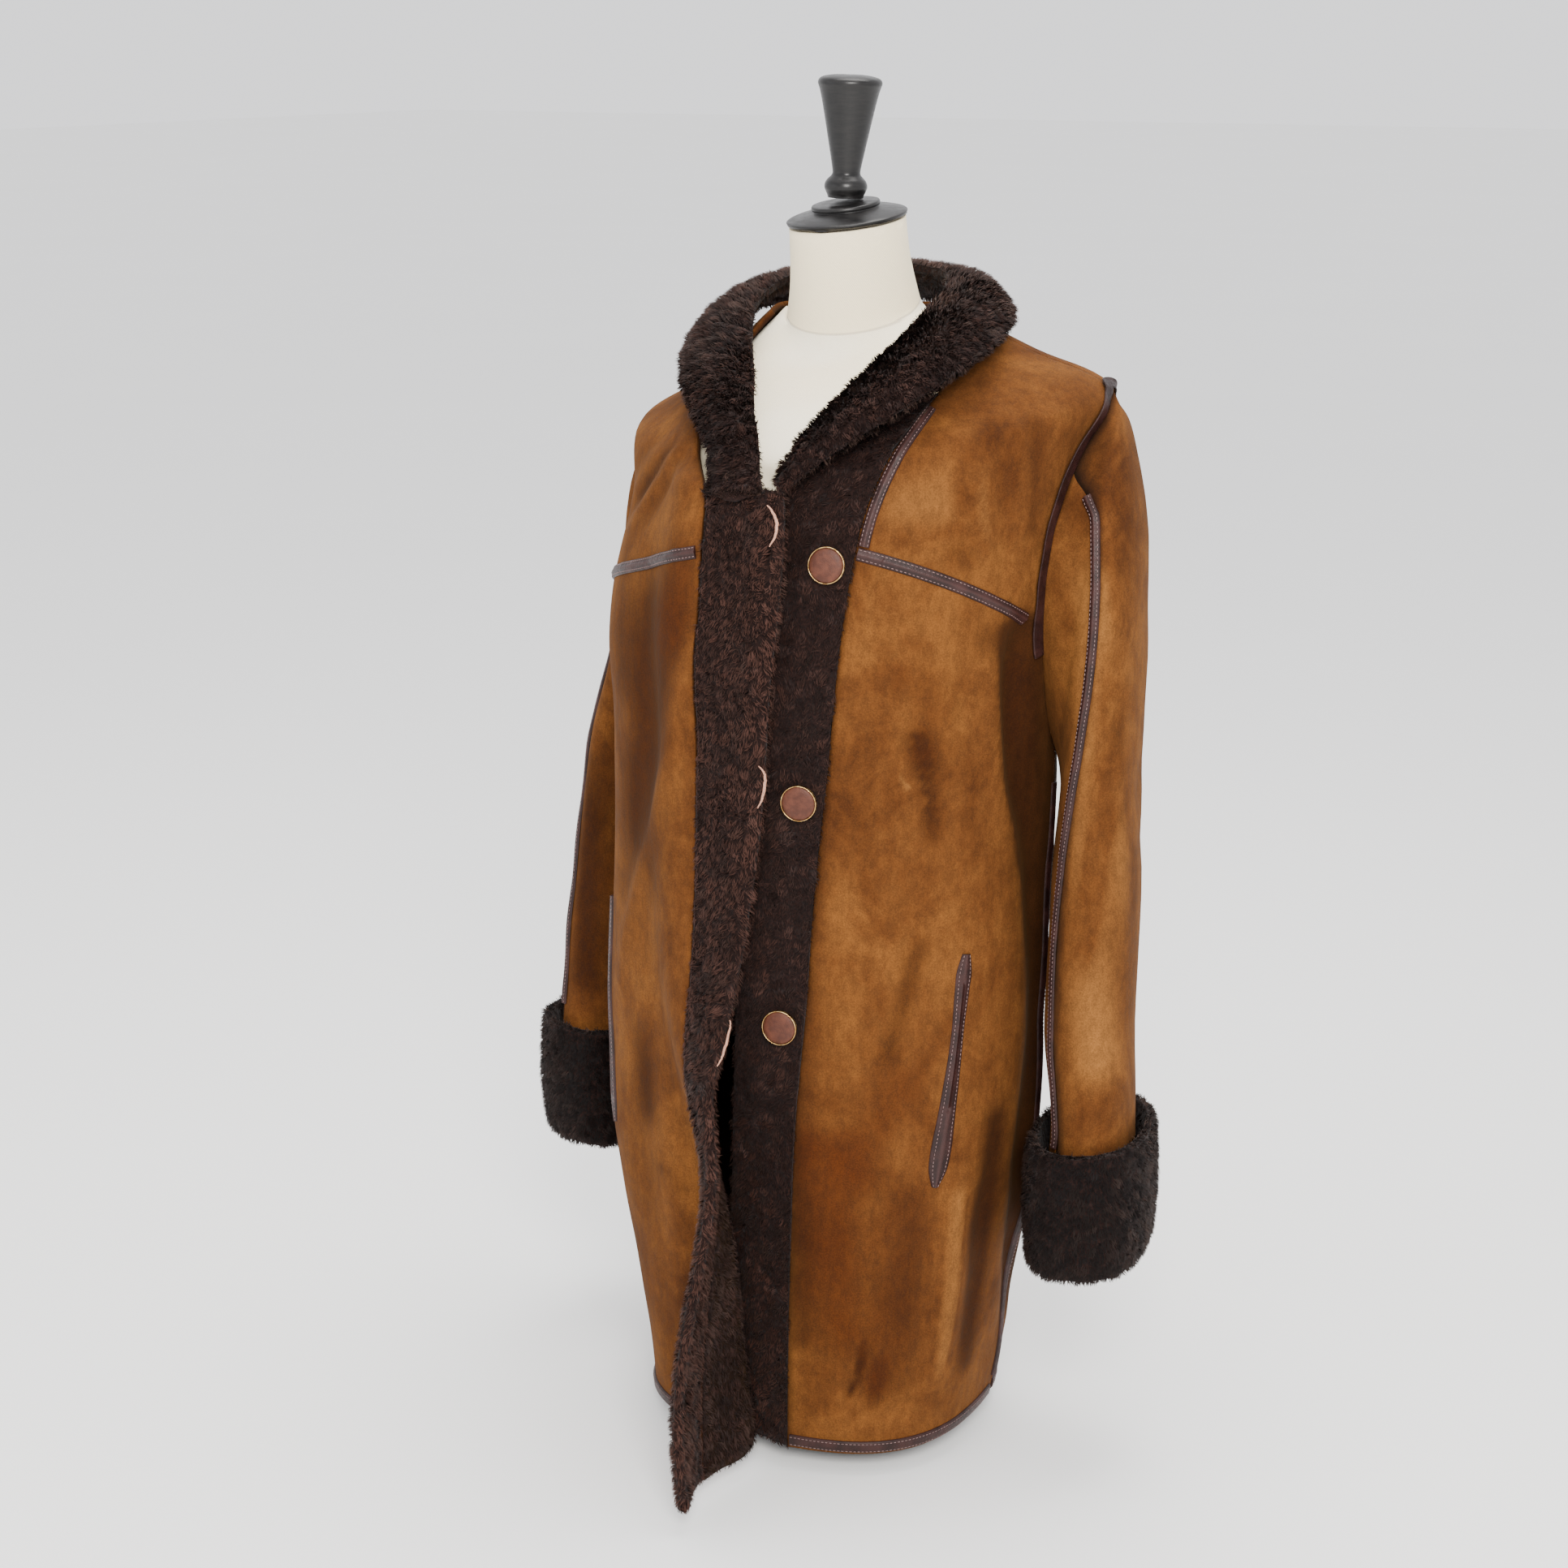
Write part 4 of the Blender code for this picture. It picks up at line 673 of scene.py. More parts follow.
# painted shade in the creases, hollows, sides and sleeves, painted light on ridges and the left sleeve, and
# rust on some
shadeAndRustMarks = [
    shadeAndRustMark(0.0085, 0.55, 0.0, *pocketDip),
    shadeAndRustMark(0.0032, -0.35, 0.0, *pocketRidge),
    shadeAndRustMark(0.0032, -0.35, 0.0, *seamRidge),
    shadeAndRustMark(0.016, 0.55, 0.0, (0.1652, -0.0442, 0.6487), (0.16, -0.056, 0.652)),
    shadeAndRustMark(0.013, 0.45, 0.0, (0.1509, -0.0714, 0.7097), (0.1448, -0.0776, 0.7183)),
    shadeAndRustMark(0.009, 0.6, 0.0, (0.1778, -0.0255, 0.8037), (0.1802, -0.0255, 0.7595), (0.1774, -0.0274, 0.7304)),
    shadeAndRustMark(0.012, 0.4, 0.0, (0.157, -0.0446, 0.8024), (0.1535, -0.0519, 0.7956)),
    shadeAndRustMark(0.02, 0.36, 0.4,
        (0.118, -0.104, 0.327), (0.1084, -0.1108, 0.2956), (0.0989, -0.117, 0.2812),
        (0.093, -0.1196, 0.257),
    ),
    shadeAndRustMark(0.0085, 0.42, 0.0, *skirtDip),
    shadeAndRustMark(0.026, 0.4, 0.55,
        (0.0641, -0.1292, 0.2679), (0.0744, -0.1263, 0.2167), (0.0742, -0.1254, 0.1628),
        (0.0816, -0.1219, 0.1235),
    ),
    shadeAndRustMark(0.02, 0.35, 0.25, (0.12, -0.1, 0.23), (0.118, -0.099, 0.16), (0.11, -0.104, 0.08)),
    shadeAndRustMark(0.011, -0.25, 0.0,
        (0.1512, -0.0722, 0.2246), (0.1488, -0.0711, 0.184), (0.1417, -0.0692, 0.1145),
        (0.1365, -0.07, 0.0775),
    ),
    shadeAndRustMark(0.015, 0.75, 0.0,
        (0.168, -0.04, 0.28), (0.1655, -0.0423, 0.2424), (0.1606, -0.0471, 0.1935),
        (0.1564, -0.0435, 0.1542), (0.148, -0.042, 0.08),
    ),
    shadeAndRustMark(0.0028, 0.7, 0.0, *hemDip),
    shadeAndRustMark(0.009, 0.45, 0.3, (0.1032, -0.1097, 0.0895), (0.1001, -0.11, 0.0685)),
    shadeAndRustMark(0.011, 0.5, 0.0,
        (0.064, -0.129, 0.6), (0.062, -0.13, 0.48), (0.056, -0.132, 0.36), (0.0459, -0.1334, 0.2788),
        (0.0485, -0.1316, 0.1803), (0.0479, -0.1303, 0.1126),
    ),
    shadeAndRustMark(0.022, 0.95, 0.0,
        (0.175, -0.02, 0.65), (0.175, -0.022, 0.6), (0.174, -0.015, 0.55), (0.175, 0.0, 0.49),
    ),
    shadeAndRustMark(0.04, 0.7, 0.25,
        (-0.07, -0.132, 0.655), (-0.0801, -0.125, 0.622), (-0.0884, -0.1182, 0.5703),
        (-0.0957, -0.1128, 0.5307), (-0.09, -0.118, 0.49),
    ),
    shadeAndRustMark(0.022, 0.35, 0.35, (-0.0412, -0.1432, 0.7011), (-0.0471, -0.1465, 0.65)),
    shadeAndRustMark(0.02, 0.36, 0.3, (0.1166, -0.1022, 0.6326), (0.1326, -0.0886, 0.6197), (0.13, -0.089, 0.57)),
    shadeAndRustMark(0.024, -0.34, 0.0,
        (0.221, -0.02, 0.69), (0.2262, -0.0223, 0.5257), (0.2345, -0.0282, 0.4359),
        (0.2438, -0.0363, 0.3458),
    ),
    shadeAndRustMark(0.024, -0.22, 0.0, (0.112, -0.098, 0.75), (0.13, -0.085, 0.75)),
    shadeAndRustMark(0.014, 0.38, 0.0, (-0.0963, -0.1177, 0.3256), (-0.092, -0.119, 0.27)),
    shadeAndRustMark(0.012, 0.42, 0.0, (-0.07, -0.1273, 0.2272), (-0.0535, -0.1312, 0.2186)),
    shadeAndRustMark(0.012, 0.35, 0.0, (-0.0813, -0.0478, 0.8032), (-0.0693, -0.0811, 0.7842)),
    shadeAndRustMark(0.006, 0.45, 0.0,
        (-0.088, -0.0768, 0.776), (-0.1029, -0.0762, 0.7572), (-0.1214, -0.0679, 0.7364),
    ),
    shadeAndRustMark(0.018, 0.3, 0.0, (-0.125, -0.086, 0.7), (-0.118, -0.1, 0.66), (-0.12, -0.098, 0.6)),
    shadeAndRustMark(0.03, 0.45, 0.0, *around((118, 0.60), (112, 0.45), (108, 0.30))),
    shadeAndRustMark(0.03, 0.45, 0.0, *around((-112, 0.60), (-106, 0.45), (-100, 0.30))),
    shadeAndRustMark(0.026, 0.32, 0.35, *around((158, 0.36), (170, 0.22), (172, 0.10))),
    shadeAndRustMark(0.024, 0.34, 0.0, *around((-150, 0.48), (-158, 0.36), (-164, 0.22))),
    shadeAndRustMark(0.022, 0.28, 0.0, *around((-176, 0.66), (170, 0.60), (165, 0.50))),
    shadeAndRustMark(0.01, 0.55, 0.0, (0.2427, -0.0071, 0.5667), (0.2427, -0.0055, 0.5945)),
    shadeAndRustMark(0.007, 0.42, 0.0,
        (0.2397, -0.0164, 0.5199), (0.2336, -0.0228, 0.4962), (0.2326, -0.0258, 0.466),
        (0.2289, -0.0296, 0.4292),
    ),
    shadeAndRustMark(0.008, 0.3, 0.0, (0.2366, -0.0005, 0.7078), (0.2374, -0.0042, 0.6709)),
    shadeAndRustMark(0.017, 0.55, 0.0, (-0.2302, 0.0275, 0.4923), (-0.2334, 0.02, 0.3841), (-0.2328, 0.0129, 0.3157)),
    shadeAndRustMark(0.02, 0.45, 0.0, (-0.21, 0.03, 0.52), (-0.215, 0.02, 0.42), (-0.218, 0.015, 0.3)),
]
# the left front turns here, by height and degrees round from the front; the side behind it lies deeper
turnedEdge = {
    "height": [0.00, 0.12, 0.18, 0.235, 0.34, 0.46, 0.545, 0.615, 0.66],
    "angle": [92.0, 84.0, 79.0, 77.0, 83.0, 81.0, 73.0, 68.0, 68.0],
}


def behindEdge(spots):
    # the degrees past the turned edge, and a share that fades out at the hem and the yoke
    turn = np.degrees(np.arctan2(spots[:, 0], 0.015 - spots[:, 1]))
    past = turn - np.interp(spots[:, 2], turnedEdge["height"], turnedEdge["angle"])
    share = ramp(0.03, 0.16, spots[:, 2]) * ramp(0.675, 0.63, spots[:, 2])
    return past, share


def settled(spots, group):
    # the places after the folds, and a slow unevenness all over
    way = outwards(spots, group)
    push = np.zeros(len(spots))
    x, y, z = spots.T
    if group == "body":
        past, share = behindEdge(spots)
        push -= 0.0075 * share * hump(past - 9.0, 5.5)
        push += 0.0050 * share * ramp(0.36, 0.46, z) * hump(past - 30.0, 10.0)
    for fold in folds if group == "body" else sleeveFolds[group]:
        gap, along = nearPath(spots, fold["path"])
        push += fold["depth"] * hump(gap, fold["width"]) * (0.45 + 0.55 * np.sin(math.pi * along))
    push += 0.0007 * np.sin(31.0 * x + 17.0 * z) * np.sin(23.0 * z + 29.0 * y + 1.3)
    push += 0.0004 * np.sin(83.0 * x - 41.0 * y + 0.7) * np.sin(67.0 * z + 0.4)
    return spots + way * push[:, None], push


def markCloth(piece, group, push):
    # writes what the suede reads: painted shade and light, rust and the woolly inside
    spots = pointsOf(piece)
    # painted shade in the troughs of the folds, and painted light on their ridges
    paintedShading = np.clip(-push / 0.006, -0.35, 1.0) * 0.5
    rust = np.zeros(len(spots))
    for mark in shadeAndRustMarks:
        soft = hump(nearPath(spots, mark["path"])[0], mark["width"])
        paintedShading += mark["paintedShading"] * soft
        rust += mark["rust"] * soft
    if group == "body":
        # painted shade on the wearer's right side, away from the key lamp, and darker towards the bottom
        paintedShading += 0.16 * ramp(0.01, -0.08, spots[:, 0]) + 0.12 * ramp(0.36, 0.08, spots[:, 2])
        # painted shade on the side behind the left front's turned edge, where the sleeve shades it
        past, share = behindEdge(spots)
        paintedShading += 0.85 * share * ramp(1.0, 6.0, past) * ramp(62.0, 40.0, past)
    keepValues(piece, "paintedShading", np.clip(paintedShading, -0.4, 1.2))
    keepValues(piece, "rust", np.clip(rust, 0.0, 1.0))


def areaOf(piece):
    return sum(face.area for face in piece.data.polygons) / 2.0


panelDrape = 1.02  # a panel's length along the cloth against its height
# filled is the share of its oblong that a panel's cut takes
panelLook = {
    "back": {"filled": 0.80, "held": "hung", "on": ["left_yoke", "right_yoke", "form_body"]},
    "left_front": {"filled": 0.86, "held": "hung", "on": ["left_yoke"]},
    "right_front": {"filled": 0.86, "held": "hung", "on": ["right_yoke"]},
    "left_yoke": {"filled": 0.70, "held": "laid", "on": ["form_body"]},
    "right_yoke": {"filled": 0.70, "held": "laid", "on": ["form_body"]},
    "left_top_sleeve": {"filled": 0.80, "held": "hung", "on": ["left_yoke"]},
    "left_under_sleeve": {"filled": 0.74, "held": "hung", "on": ["left_yoke"]},
    "right_top_sleeve": {"filled": 0.80, "held": "hung", "on": ["right_yoke"]},
    "right_under_sleeve": {"filled": 0.74, "held": "hung", "on": ["right_yoke"]},
}


def makePanels():
    panels = {}
    for node, look in panelLook.items():
        group = groupOf(node)
        piece = refined(node, node + "_suede", group=group)
        spots, push = settled(pointsOf(piece), group)
        movePoints(piece, spots)
        markCloth(piece, group, push)
        softened(piece, 50)
        dress(piece, suede, "suede", node)
        low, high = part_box(node)
        area = areaOf(piece)
        length = (high[2] - low[2]) * panelDrape
        cut = (area / (length * look["filled"]), length)
        print(f"coat: {node} cut {cut[0] * 1000:.0f} x {cut[1] * 1000:.0f} mm, {area:.4f} m2")
        panels[node] = piece
    return panels


panels = makePanels()
print("coat: suede panels made")

# leather bindings with a raised middle and sunk rows of stitches
bindingLook = {
    "thick": 0.0016,
    "under": 0.0011,  # from the CAD strip's outer side down to the cloth
    "sunk": 0.0005,  # how far the underside goes into the nap
    "ridge": 0.0007,
    "slit": 0.0022,  # the depth of a pocket's opening below the ridge
    "slitEnds": (0.34, 0.90),
    "lips": 0.0008,
    "rows": 0.66,  # where the stitch rows run, from the middle to the edge
    "rowDepth": 0.0003,
    "stitchSunk": 0.00012,
    "pitch": 0.0031,
    "stitch": 0.0024,
    "stitchWide": 0.00066,
    "plain": ("left_hem_binding", "right_hem_binding", "back_hem_binding"),
    "single": ("left_side_binding", "right_side_binding"),
}


def walkOn(edge, vertex):
    # straight on along the edges until a point that isn't regular
    path = [vertex]
    while True:
        vertex = edge.other_vert(vertex)
        path.append(vertex)
        if len(vertex.link_edges) != 4:
            return path
        onward = [e for e in vertex.link_edges if e != edge and not set(e.link_faces) & set(edge.link_faces)]
        if len(onward) != 1:
            return path
        edge = onward[0]


def gridRows(start):
    # the points of one side of a strip, row by row, from a corner
    walks = sorted((walkOn(edge, start) for edge in start.link_edges), key=len)
    rows = [walks[1]]
    for first in walks[2][1:]:
        row = [first]
        for a, b in zip(rows[-1], rows[-1][1:]):
            shared = set(a.link_faces) & set(b.link_faces) & set(row[-1].link_faces)
            fresh = [v for face in shared if len(face.verts) == 4 for v in face.verts]
            row += [v for v in fresh if v not in (a, b, row[-1])][:1]
        if len(row) != len(rows[-1]):
            return walks[0][1], []
        rows.append(row)
    return walks[0][1], [[v.co.copy() for v in row] for row in rows]


def stripRows(node, under):
    # the rows of the side of a CAD strip that faces away from what it lies on
    work = quadsOf(node)
    corner = next(v for v in work.verts if len(v.link_edges) == 3)
    partner, rows = gridRows(corner)
    other = gridRows(partner)[1]
    work.free()
    if not rows or len(rows) != len(other):
        return []

    def clear(grid):
        return sum(under.find_nearest(row[len(row) // 2])[3] for row in grid)

    return rows if clear(rows) > clear(other) else other


def curveThrough(spots, finer):
    # a smooth line through points, with more of them
    out = []
    last = len(spots) - 1
    for i in range(last):
        a, b, c, d = (spots[min(max(i + k, 0), last)] for k in (-1, 0, 1, 2))
        for k in range(finer):
            t = k / finer
            bend = (2.0 * a - 5.0 * b + 4.0 * c - d) * t * t
            out.append(0.5 * ((2.0 * b) + (c - a) * t + bend + (3.0 * b - a - 3.0 * c + d) * t**3))
    return out + [spots[-1]]


def stitchRow(line, ways, sides, look):
    # stitches laid end to end along a line: a flattened bead with pointed ends for each
    points, faces = [], []
    lengths = [0.0]
    for a, b in zip(line, line[1:]):
        lengths.append(lengths[-1] + (b - a).length)
    count = int(lengths[-1] / look["pitch"])
    place = 0
    for number in range(count):
        at = (number + 0.5) * lengths[-1] / count
        while lengths[place + 1] < at:
            place += 1
        share = (at - lengths[place]) / max(lengths[place + 1] - lengths[place], 1e-9)
        middle = line[place].lerp(line[place + 1], share)
        along = (line[place + 1] - line[place]).normalized()
        half, wide = look["stitch"] / 2.0, look["stitchWide"] / 2.0
        way, side = ways[place], sides[place]
        start = len(points)
        points += [middle - along * half - way * 0.0002, middle + along * half - way * 0.0002]
        for end in (-0.5, 0.5):
            for over, out in ((-1, 0), (0, 1), (1, 0), (0, -1)):
                points.append(middle + along * half * end + side * wide * over + way * wide * 0.8 * out)
        for i in range(4):
            a, b = start + 2 + i, start + 2 + (i + 1) % 4
            faces += [(start, b, a), (a, b, b + 4, a + 4), (start + 1, a + 4, b + 4)]
    return points, faces


def bindingHeight(s, look, ridge, cleft):
    # the outer side across the strip, from -1 to 1, above the CAD strip's
    off = abs(s)
    height = look["thick"] * (1.0 - off**7) - look["under"]
    height += ridge * hump(s, 0.26) - look["rowDepth"] * hump(off - look["rows"], 0.1)
    opening = look["lips"] * hump(off - 0.22, 0.14) - (look["slit"] + ridge) * hump(s, 0.10)
    return height + cleft * opening


def makeBinding(node, under, look):
    rows = stripRows(node, under)
    if not rows:
        return None, []
    middle = len(rows[0]) // 2
    rails = [curveThrough([row[i] for row in rows], 4) for i in (0, middle, -1)]
    count = len(rails[0])
    ridge = 0.0 if node in look["plain"] else look["ridge"]
    slit = look["slitEnds"] if node.endswith("_welt") else None
    half = [0.16, 0.34, 0.56, 0.66, 0.74, 0.88, 0.97, 1.0]
    across = [-s for s in reversed(half)] + [0.0] + half
    points, wearAndHighlight, ways, sides = [], [], [], []
    for j in range(count):
        left, mid, right = (rail[j] for rail in rails)
        ahead, behind = rails[1][min(j + 1, count - 1)], rails[1][max(j - 1, 0)]
        side = (right - left).normalized()
        way = side.cross(ahead - behind).normalized()
        if way.dot(mid - under.find_nearest(mid)[0]) < 0.0:
            way.negate()
        ways.append(way)
        sides.append(side)
        cleft = 0.0
        if slit:
            at = j / (count - 1)
            cleft = ramp(slit[0], slit[0] + 0.03, at) * (1.0 - ramp(slit[1] - 0.03, slit[1], at))
        for s in across:
            flat = mid.lerp(right if s > 0.0 else left, abs(s))
            points.append(flat + way * bindingHeight(s, look, ridge, cleft))
            # worn leather and a painted highlight on the raised middle and the edges
            wearAndHighlight.append(hump(s, 0.3) * (1.0 if ridge else 0.4) + 0.5 * ramp(0.8, 0.95, abs(s)))
        points += [flat - way * (look["under"] + look["sunk"]) for flat in (right, left)]
        wearAndHighlight += [0.0, 0.0]
    piece = tubeFrom(node + "_leather", points, len(across) + 2)
    keepValues(piece, "wearAndHighlight", wearAndHighlight)
    lines = []
    for end, rail in ((-1, rails[0]), (1, rails[2])):
        if node in look["single"] and end < 0:
            continue
        rise = look["thick"] - look["under"] - look["stitchSunk"]
        line = [mid.lerp(edge, look["rows"]) + way * rise for mid, edge, way in zip(rails[1], rail, ways)]
        lines.append((line, ways, sides))
    return piece, lines


def makeBindings():
    stitchPoints, stitchFaces = ({group: [] for group in axes} for _ in range(2))
    cadCloth = treeOf(*[bpy.data.objects[name] for name in panelLook])
    for node in sorted(frame["nodes"]):
        if not node.endswith(("_binding", "_binding_front", "_binding_back", "_pocket_welt")):
            continue
        group = groupOf(node)
        piece, lines = makeBinding(node, cadCloth, bindingLook)
        if piece is None:
            print("coat:", node, "kept its own rows")
            piece = refined(node, node + "_leather", 60, 0.5)
            keepValues(piece, "wearAndHighlight", np.full(len(piece.data.vertices), 0.3))
        spots = settled(pointsOf(piece), group)[0]
        movePoints(piece, spots)
        softened(piece, 70)
        dress(piece, leather, "leather", node)
        for line, ways, sides in lines:
            moved = settled(np.array([tuple(spot) for spot in line]), group)[0]
            points, faces = stitchRow([Vector(spot) for spot in moved], ways, sides, bindingLook)
            start = len(stitchPoints[group])
            stitchPoints[group] += points
            stitchFaces[group] += [tuple(i + start for i in face) for face in faces]
    for group in stitchPoints:
        if stitchPoints[group]:
            piece = pieceFrom(group + "_stitching", stitchPoints[group], stitchFaces[group])
            softened(piece)
            dress(piece, thread, "leather")
            print("coat:", group, "stitches", len(stitchFaces[group]) // 12)


makeBindings()
print("coat: bindings made")

# fur: a woolly ground sunk below the CAD form, and blades that lie along its nap
cuffFur = {
    "count": 27000, "long": 0.0056, "wide": 0.00066, "lean": 0.74,
    "tone": 0.06, "clump": 0.40, "sunk": 0.0030,
}
furLook = {
    "collar": {
        "count": 52000, "long": 0.0068, "wide": 0.00075, "lean": 0.62,
        "tone": 0.40, "clump": 0.52, "sunk": 0.0040, "seed": 11,
    },
    "right_band": {
        "count": 50000, "long": 0.0062, "wide": 0.00068, "lean": 0.68,
        "tone": 0.58, "clump": 0.50, "sunk": 0.0034, "seed": 12,
    },
    "left_band": {
        "count": 30000, "long": 0.0050, "wide": 0.00066, "lean": 0.74,
        "tone": 0.38, "clump": 0.46, "sunk": 0.0026, "seed": 13,
    },
    "left_cuff": {**cuffFur, "seed": 14},
    "right_cuff": {**cuffFur, "seed": 15},
}
liningLook = {
    "count": 22000, "long": 0.0052, "wide": 0.00068, "lean": 0.78,
    "tone": 0.34, "clump": 0.46, "seed": 16,
}
buttonClear = 0.0165  # no blade grows nearer to a button's middle
noise.seed_set(7)  # the swirls in the combed fur come out the same each time


def combed(node, spots):
    # the way in which the fur is brushed
    way = outwards(spots, groupOf(node))
    if node == "collar":
        way[:, 2] = -0.75
    elif node in ("right_band", "right_front"):
        way = way * 0.25 + np.array([0.10, 0.0, -1.0])
    elif node == "left_band":
        way = way * 0.20 + np.array([-0.12, 0.0, -1.0])
    else:
        way = way * 0.15 + np.array([0.0, 0.0, -1.0])
    swirl = np.array([tuple(noise.noise_vector(Vector(spot) * 34.0)) for spot in spots[::8]])
    return way + 0.85 * np.repeat(swirl, 8, axis=0)[: len(spots)]


def eased(node, spots):
    # the collar's two ends run into the bands, and the left band's foot lies further over
    spots = spots.copy()
    if node == "collar":
        for centre, reach, spread, way in (
            ((-0.002, -0.137, 0.766), 0.034, 0.42, (0.004, -0.002, -0.012)),
            ((0.045, -0.127, 0.776), 0.026, 0.10, (-0.006, -0.002, -0.008)),
        ):
            near = hump(np.linalg.norm(spots - np.array(centre), axis=1), reach)
            wider = spread * (spots[:, 0] - centre[0])
            spots += near[:, None] * np.array(way)
            spots[:, 0] += near * wider
    if node == "left_band":
        slices = np.round(spots[:, 2] / 0.012).astype(int)
        for number in np.unique(slices):
            row = slices == number
            least, most = spots[row, 0].min(), spots[row, 0].max()
            share = (most - spots[row, 0]) / max(most - least, 1e-6)
            spots[row, 0] -= 0.016 * share * ramp(0.34, 0.14, spots[row, 2])
            spots[row, 0] += 0.0028 * (1.0 - share)
    return spots


def unit(ways):
    return ways / np.maximum(np.linalg.norm(ways, axis=1), 1e-9)[:, None]


def growPile(node, ground, look):
    chance = np.random.default_rng(look["seed"])
    mesh = ground.data
    mesh.calc_loop_triangles()
    corners = np.empty(len(mesh.loop_triangles) * 3, dtype=np.int32)
    mesh.loop_triangles.foreach_get("vertices", corners)
    corners = corners.reshape(-1, 3)
    spots, normals = pointsOf(ground), normalsOf(ground)
    a, b, c = (spots[corners[:, k]] for k in range(3))
    centres = (a + b + c) / 3.0
    area = np.linalg.norm(np.cross(b - a, c - a), axis=1)
    out = np.einsum("ij,ij->i", unit(np.cross(b - a, c - a)), outwards(centres, groupOf(node)))
    if node in ("collar", "left_band") or "cuff" in node:
        area *= np.where(out < -0.45, 0.12, 1.0)  # little grows on the hidden side
    if node == "left_band":
        for number in (1, 2, 3):
            low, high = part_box(f"button_rim_{number}")
            button = (np.array(low) + np.array(high)) / 2.0
            area *= np.linalg.norm(centres - button, axis=1) > buttonClear
    if node == "right_front":
        # only on the flap's inner side, where it turns out
        inside = np.empty(len(spots), dtype=np.float32)
        mesh.attributes["inside"].data.foreach_get("value", inside)
        turned = ramp(-0.105, -0.135, centres[:, 1]) * ramp(0.62, 0.45, centres[:, 2])
        area *= (inside[corners].min(axis=1) > 0.5) * turned
    chances = np.cumsum(area) / area.sum()
    pick = np.searchsorted(chances, chance.random(look["count"]))
    u, v = chance.random((2, look["count"], 1))
    over = (u + v) > 1.0
    u, v = np.where(over, 1.0 - u, u), np.where(over, 1.0 - v, v)
    order = np.lexsort((a[pick] / 0.004).astype(int).T)
    pick, u, v = pick[order], u[order], v[order]
    root = a[pick] * (1.0 - u - v) + b[pick] * u + c[pick] * v
    na, nb, nc = (normals[corners[pick, k]] for k in range(3))
    up = unit(na * (1.0 - u - v) + nb * u + nc * v)
    comb = combed(node, root) + 0.45 * chance.normal(size=root.shape)
    lie = unit(comb - up * np.einsum("ij,ij->i", comb, up)[:, None])
    size = look["long"] * chance.uniform(0.62, 1.2, (len(root), 1))
    lean = np.clip(look["lean"] + 0.14 * chance.normal(size=(len(root), 1)), 0.2, 0.92)
    stand = np.sqrt(1.0 - lean * lean)
    middle = root + size * (0.50 * stand * up + 0.30 * lean * lie)
    tip = root + size * (0.82 * stand * up + 0.95 * lean * lie)
    leaders = chance.choice(len(root), len(root) // 26, replace=False)
    finder = KDTree(len(leaders))
    for number, leader in enumerate(leaders):
        finder.insert(root[leader], number)
    finder.balance()
    chief = np.array([leaders[finder.find(spot)[1]] for spot in root])
    draw = look["clump"] * chance.uniform(0.5, 1.0, (len(root), 1))
    tip = tip + draw * (tip[chief] + up[chief] * 0.0006 - tip)
    middle = middle + 0.35 * draw * (middle[chief] - middle)
    across = unit(np.cross(up, lie) + 0.5 * lie * chance.normal(size=(len(root), 1))) * look["wide"] / 2.0
    waist = across * 0.8
    blades = np.stack([root - across, root + across, middle - waist, middle + waist, tip], axis=1)
    starts = np.arange(len(root))[:, None] * 5
    faces = (starts + np.array([0, 2, 3, 1])).tolist() + (starts + np.array([2, 4, 3])).tolist()
    pile = pieceFrom(node + "_pile", blades.reshape(-1, 3), faces)
    bunch = chance.random(len(root))[chief]
    tone = look["tone"] + 0.30 * (bunch - 0.5) + 0.22 * (chance.random(len(root)) - 0.5)
    tone = tone + lightOn(node, root)
    keepValues(pile, "shade", np.tile([0.0, 0.0, 0.55, 0.55, 1.0], len(root)))
    keepValues(pile, "tone", np.repeat(np.clip(tone, 0.0, 1.0), 5))
    softened(pile)
    # the blades catch the light as the pile does, not each by itself
    facing = unit(up + 0.40 * lie + 0.32 * chance.normal(size=root.shape)[chief])
    pile.data.normals_split_custom_set_from_vertices(np.repeat(facing, 5, axis=0))
    return pile


# the line down the right band where its fur parts
bandSpine = (
    (0.030, -0.150, 0.76), (0.034, -0.150, 0.55), (0.020, -0.170, 0.38),
    (0.014, -0.212, 0.25), (0.015, -0.245, 0.10), (0.015, -0.250, 0.03),
)


def lightOn(node, spots):
    # the fur is browner where it is brushed up, and lighter and darker in a slow wave elsewhere
    if node == "right_band":
        return 0.24 * hump(nearPath(spots, bandSpine)[0], 0.016)
    if node == "left_band":
        return 0.16 * ramp(0.30, 0.05, spots[:, 2])
    if "cuff" in node:
        low = spots[:, 2].min()
        return 0.20 * (1.0 - ramp(low + 0.004, low + 0.022, spots[:, 2]))
    return 0.10 * np.sin(spots[:, 0] * 60.0) * np.sin(spots[:, 2] * 50.0)


def makeFur():
    pieces = {}
    for node, look in furLook.items():
        piece = refined(node, node + "_wool", 75, 0.6)
        spots = settled(eased(node, pointsOf(piece)), groupOf(node))[0] - normalsOf(piece) * look["sunk"]
        places = [Vector(spot) for spot in spots]
        rough = np.array([noise.noise(place * 95.0) + 0.5 * noise.noise(place * 210.0) for place in places])
        spots = spots + normalsOf(piece) * (0.0009 * rough)[:, None]
        movePoints(piece, spots)
        softened(piece)
        dress(piece, fleece, "fur", node)
        pile = growPile(node, piece, look)
        dress(pile, cuffPile if "cuff" in node else pileFinish, "fur")
        pieces[node] = piece
        print("coat:", node, "fur", look["count"], "blades")
    lining = growPile("right_front", panels["right_front"], liningLook)
    dress(lining, pileFinish, "fur")
    return pieces


furs = makeFur()
print("coat: fur made")

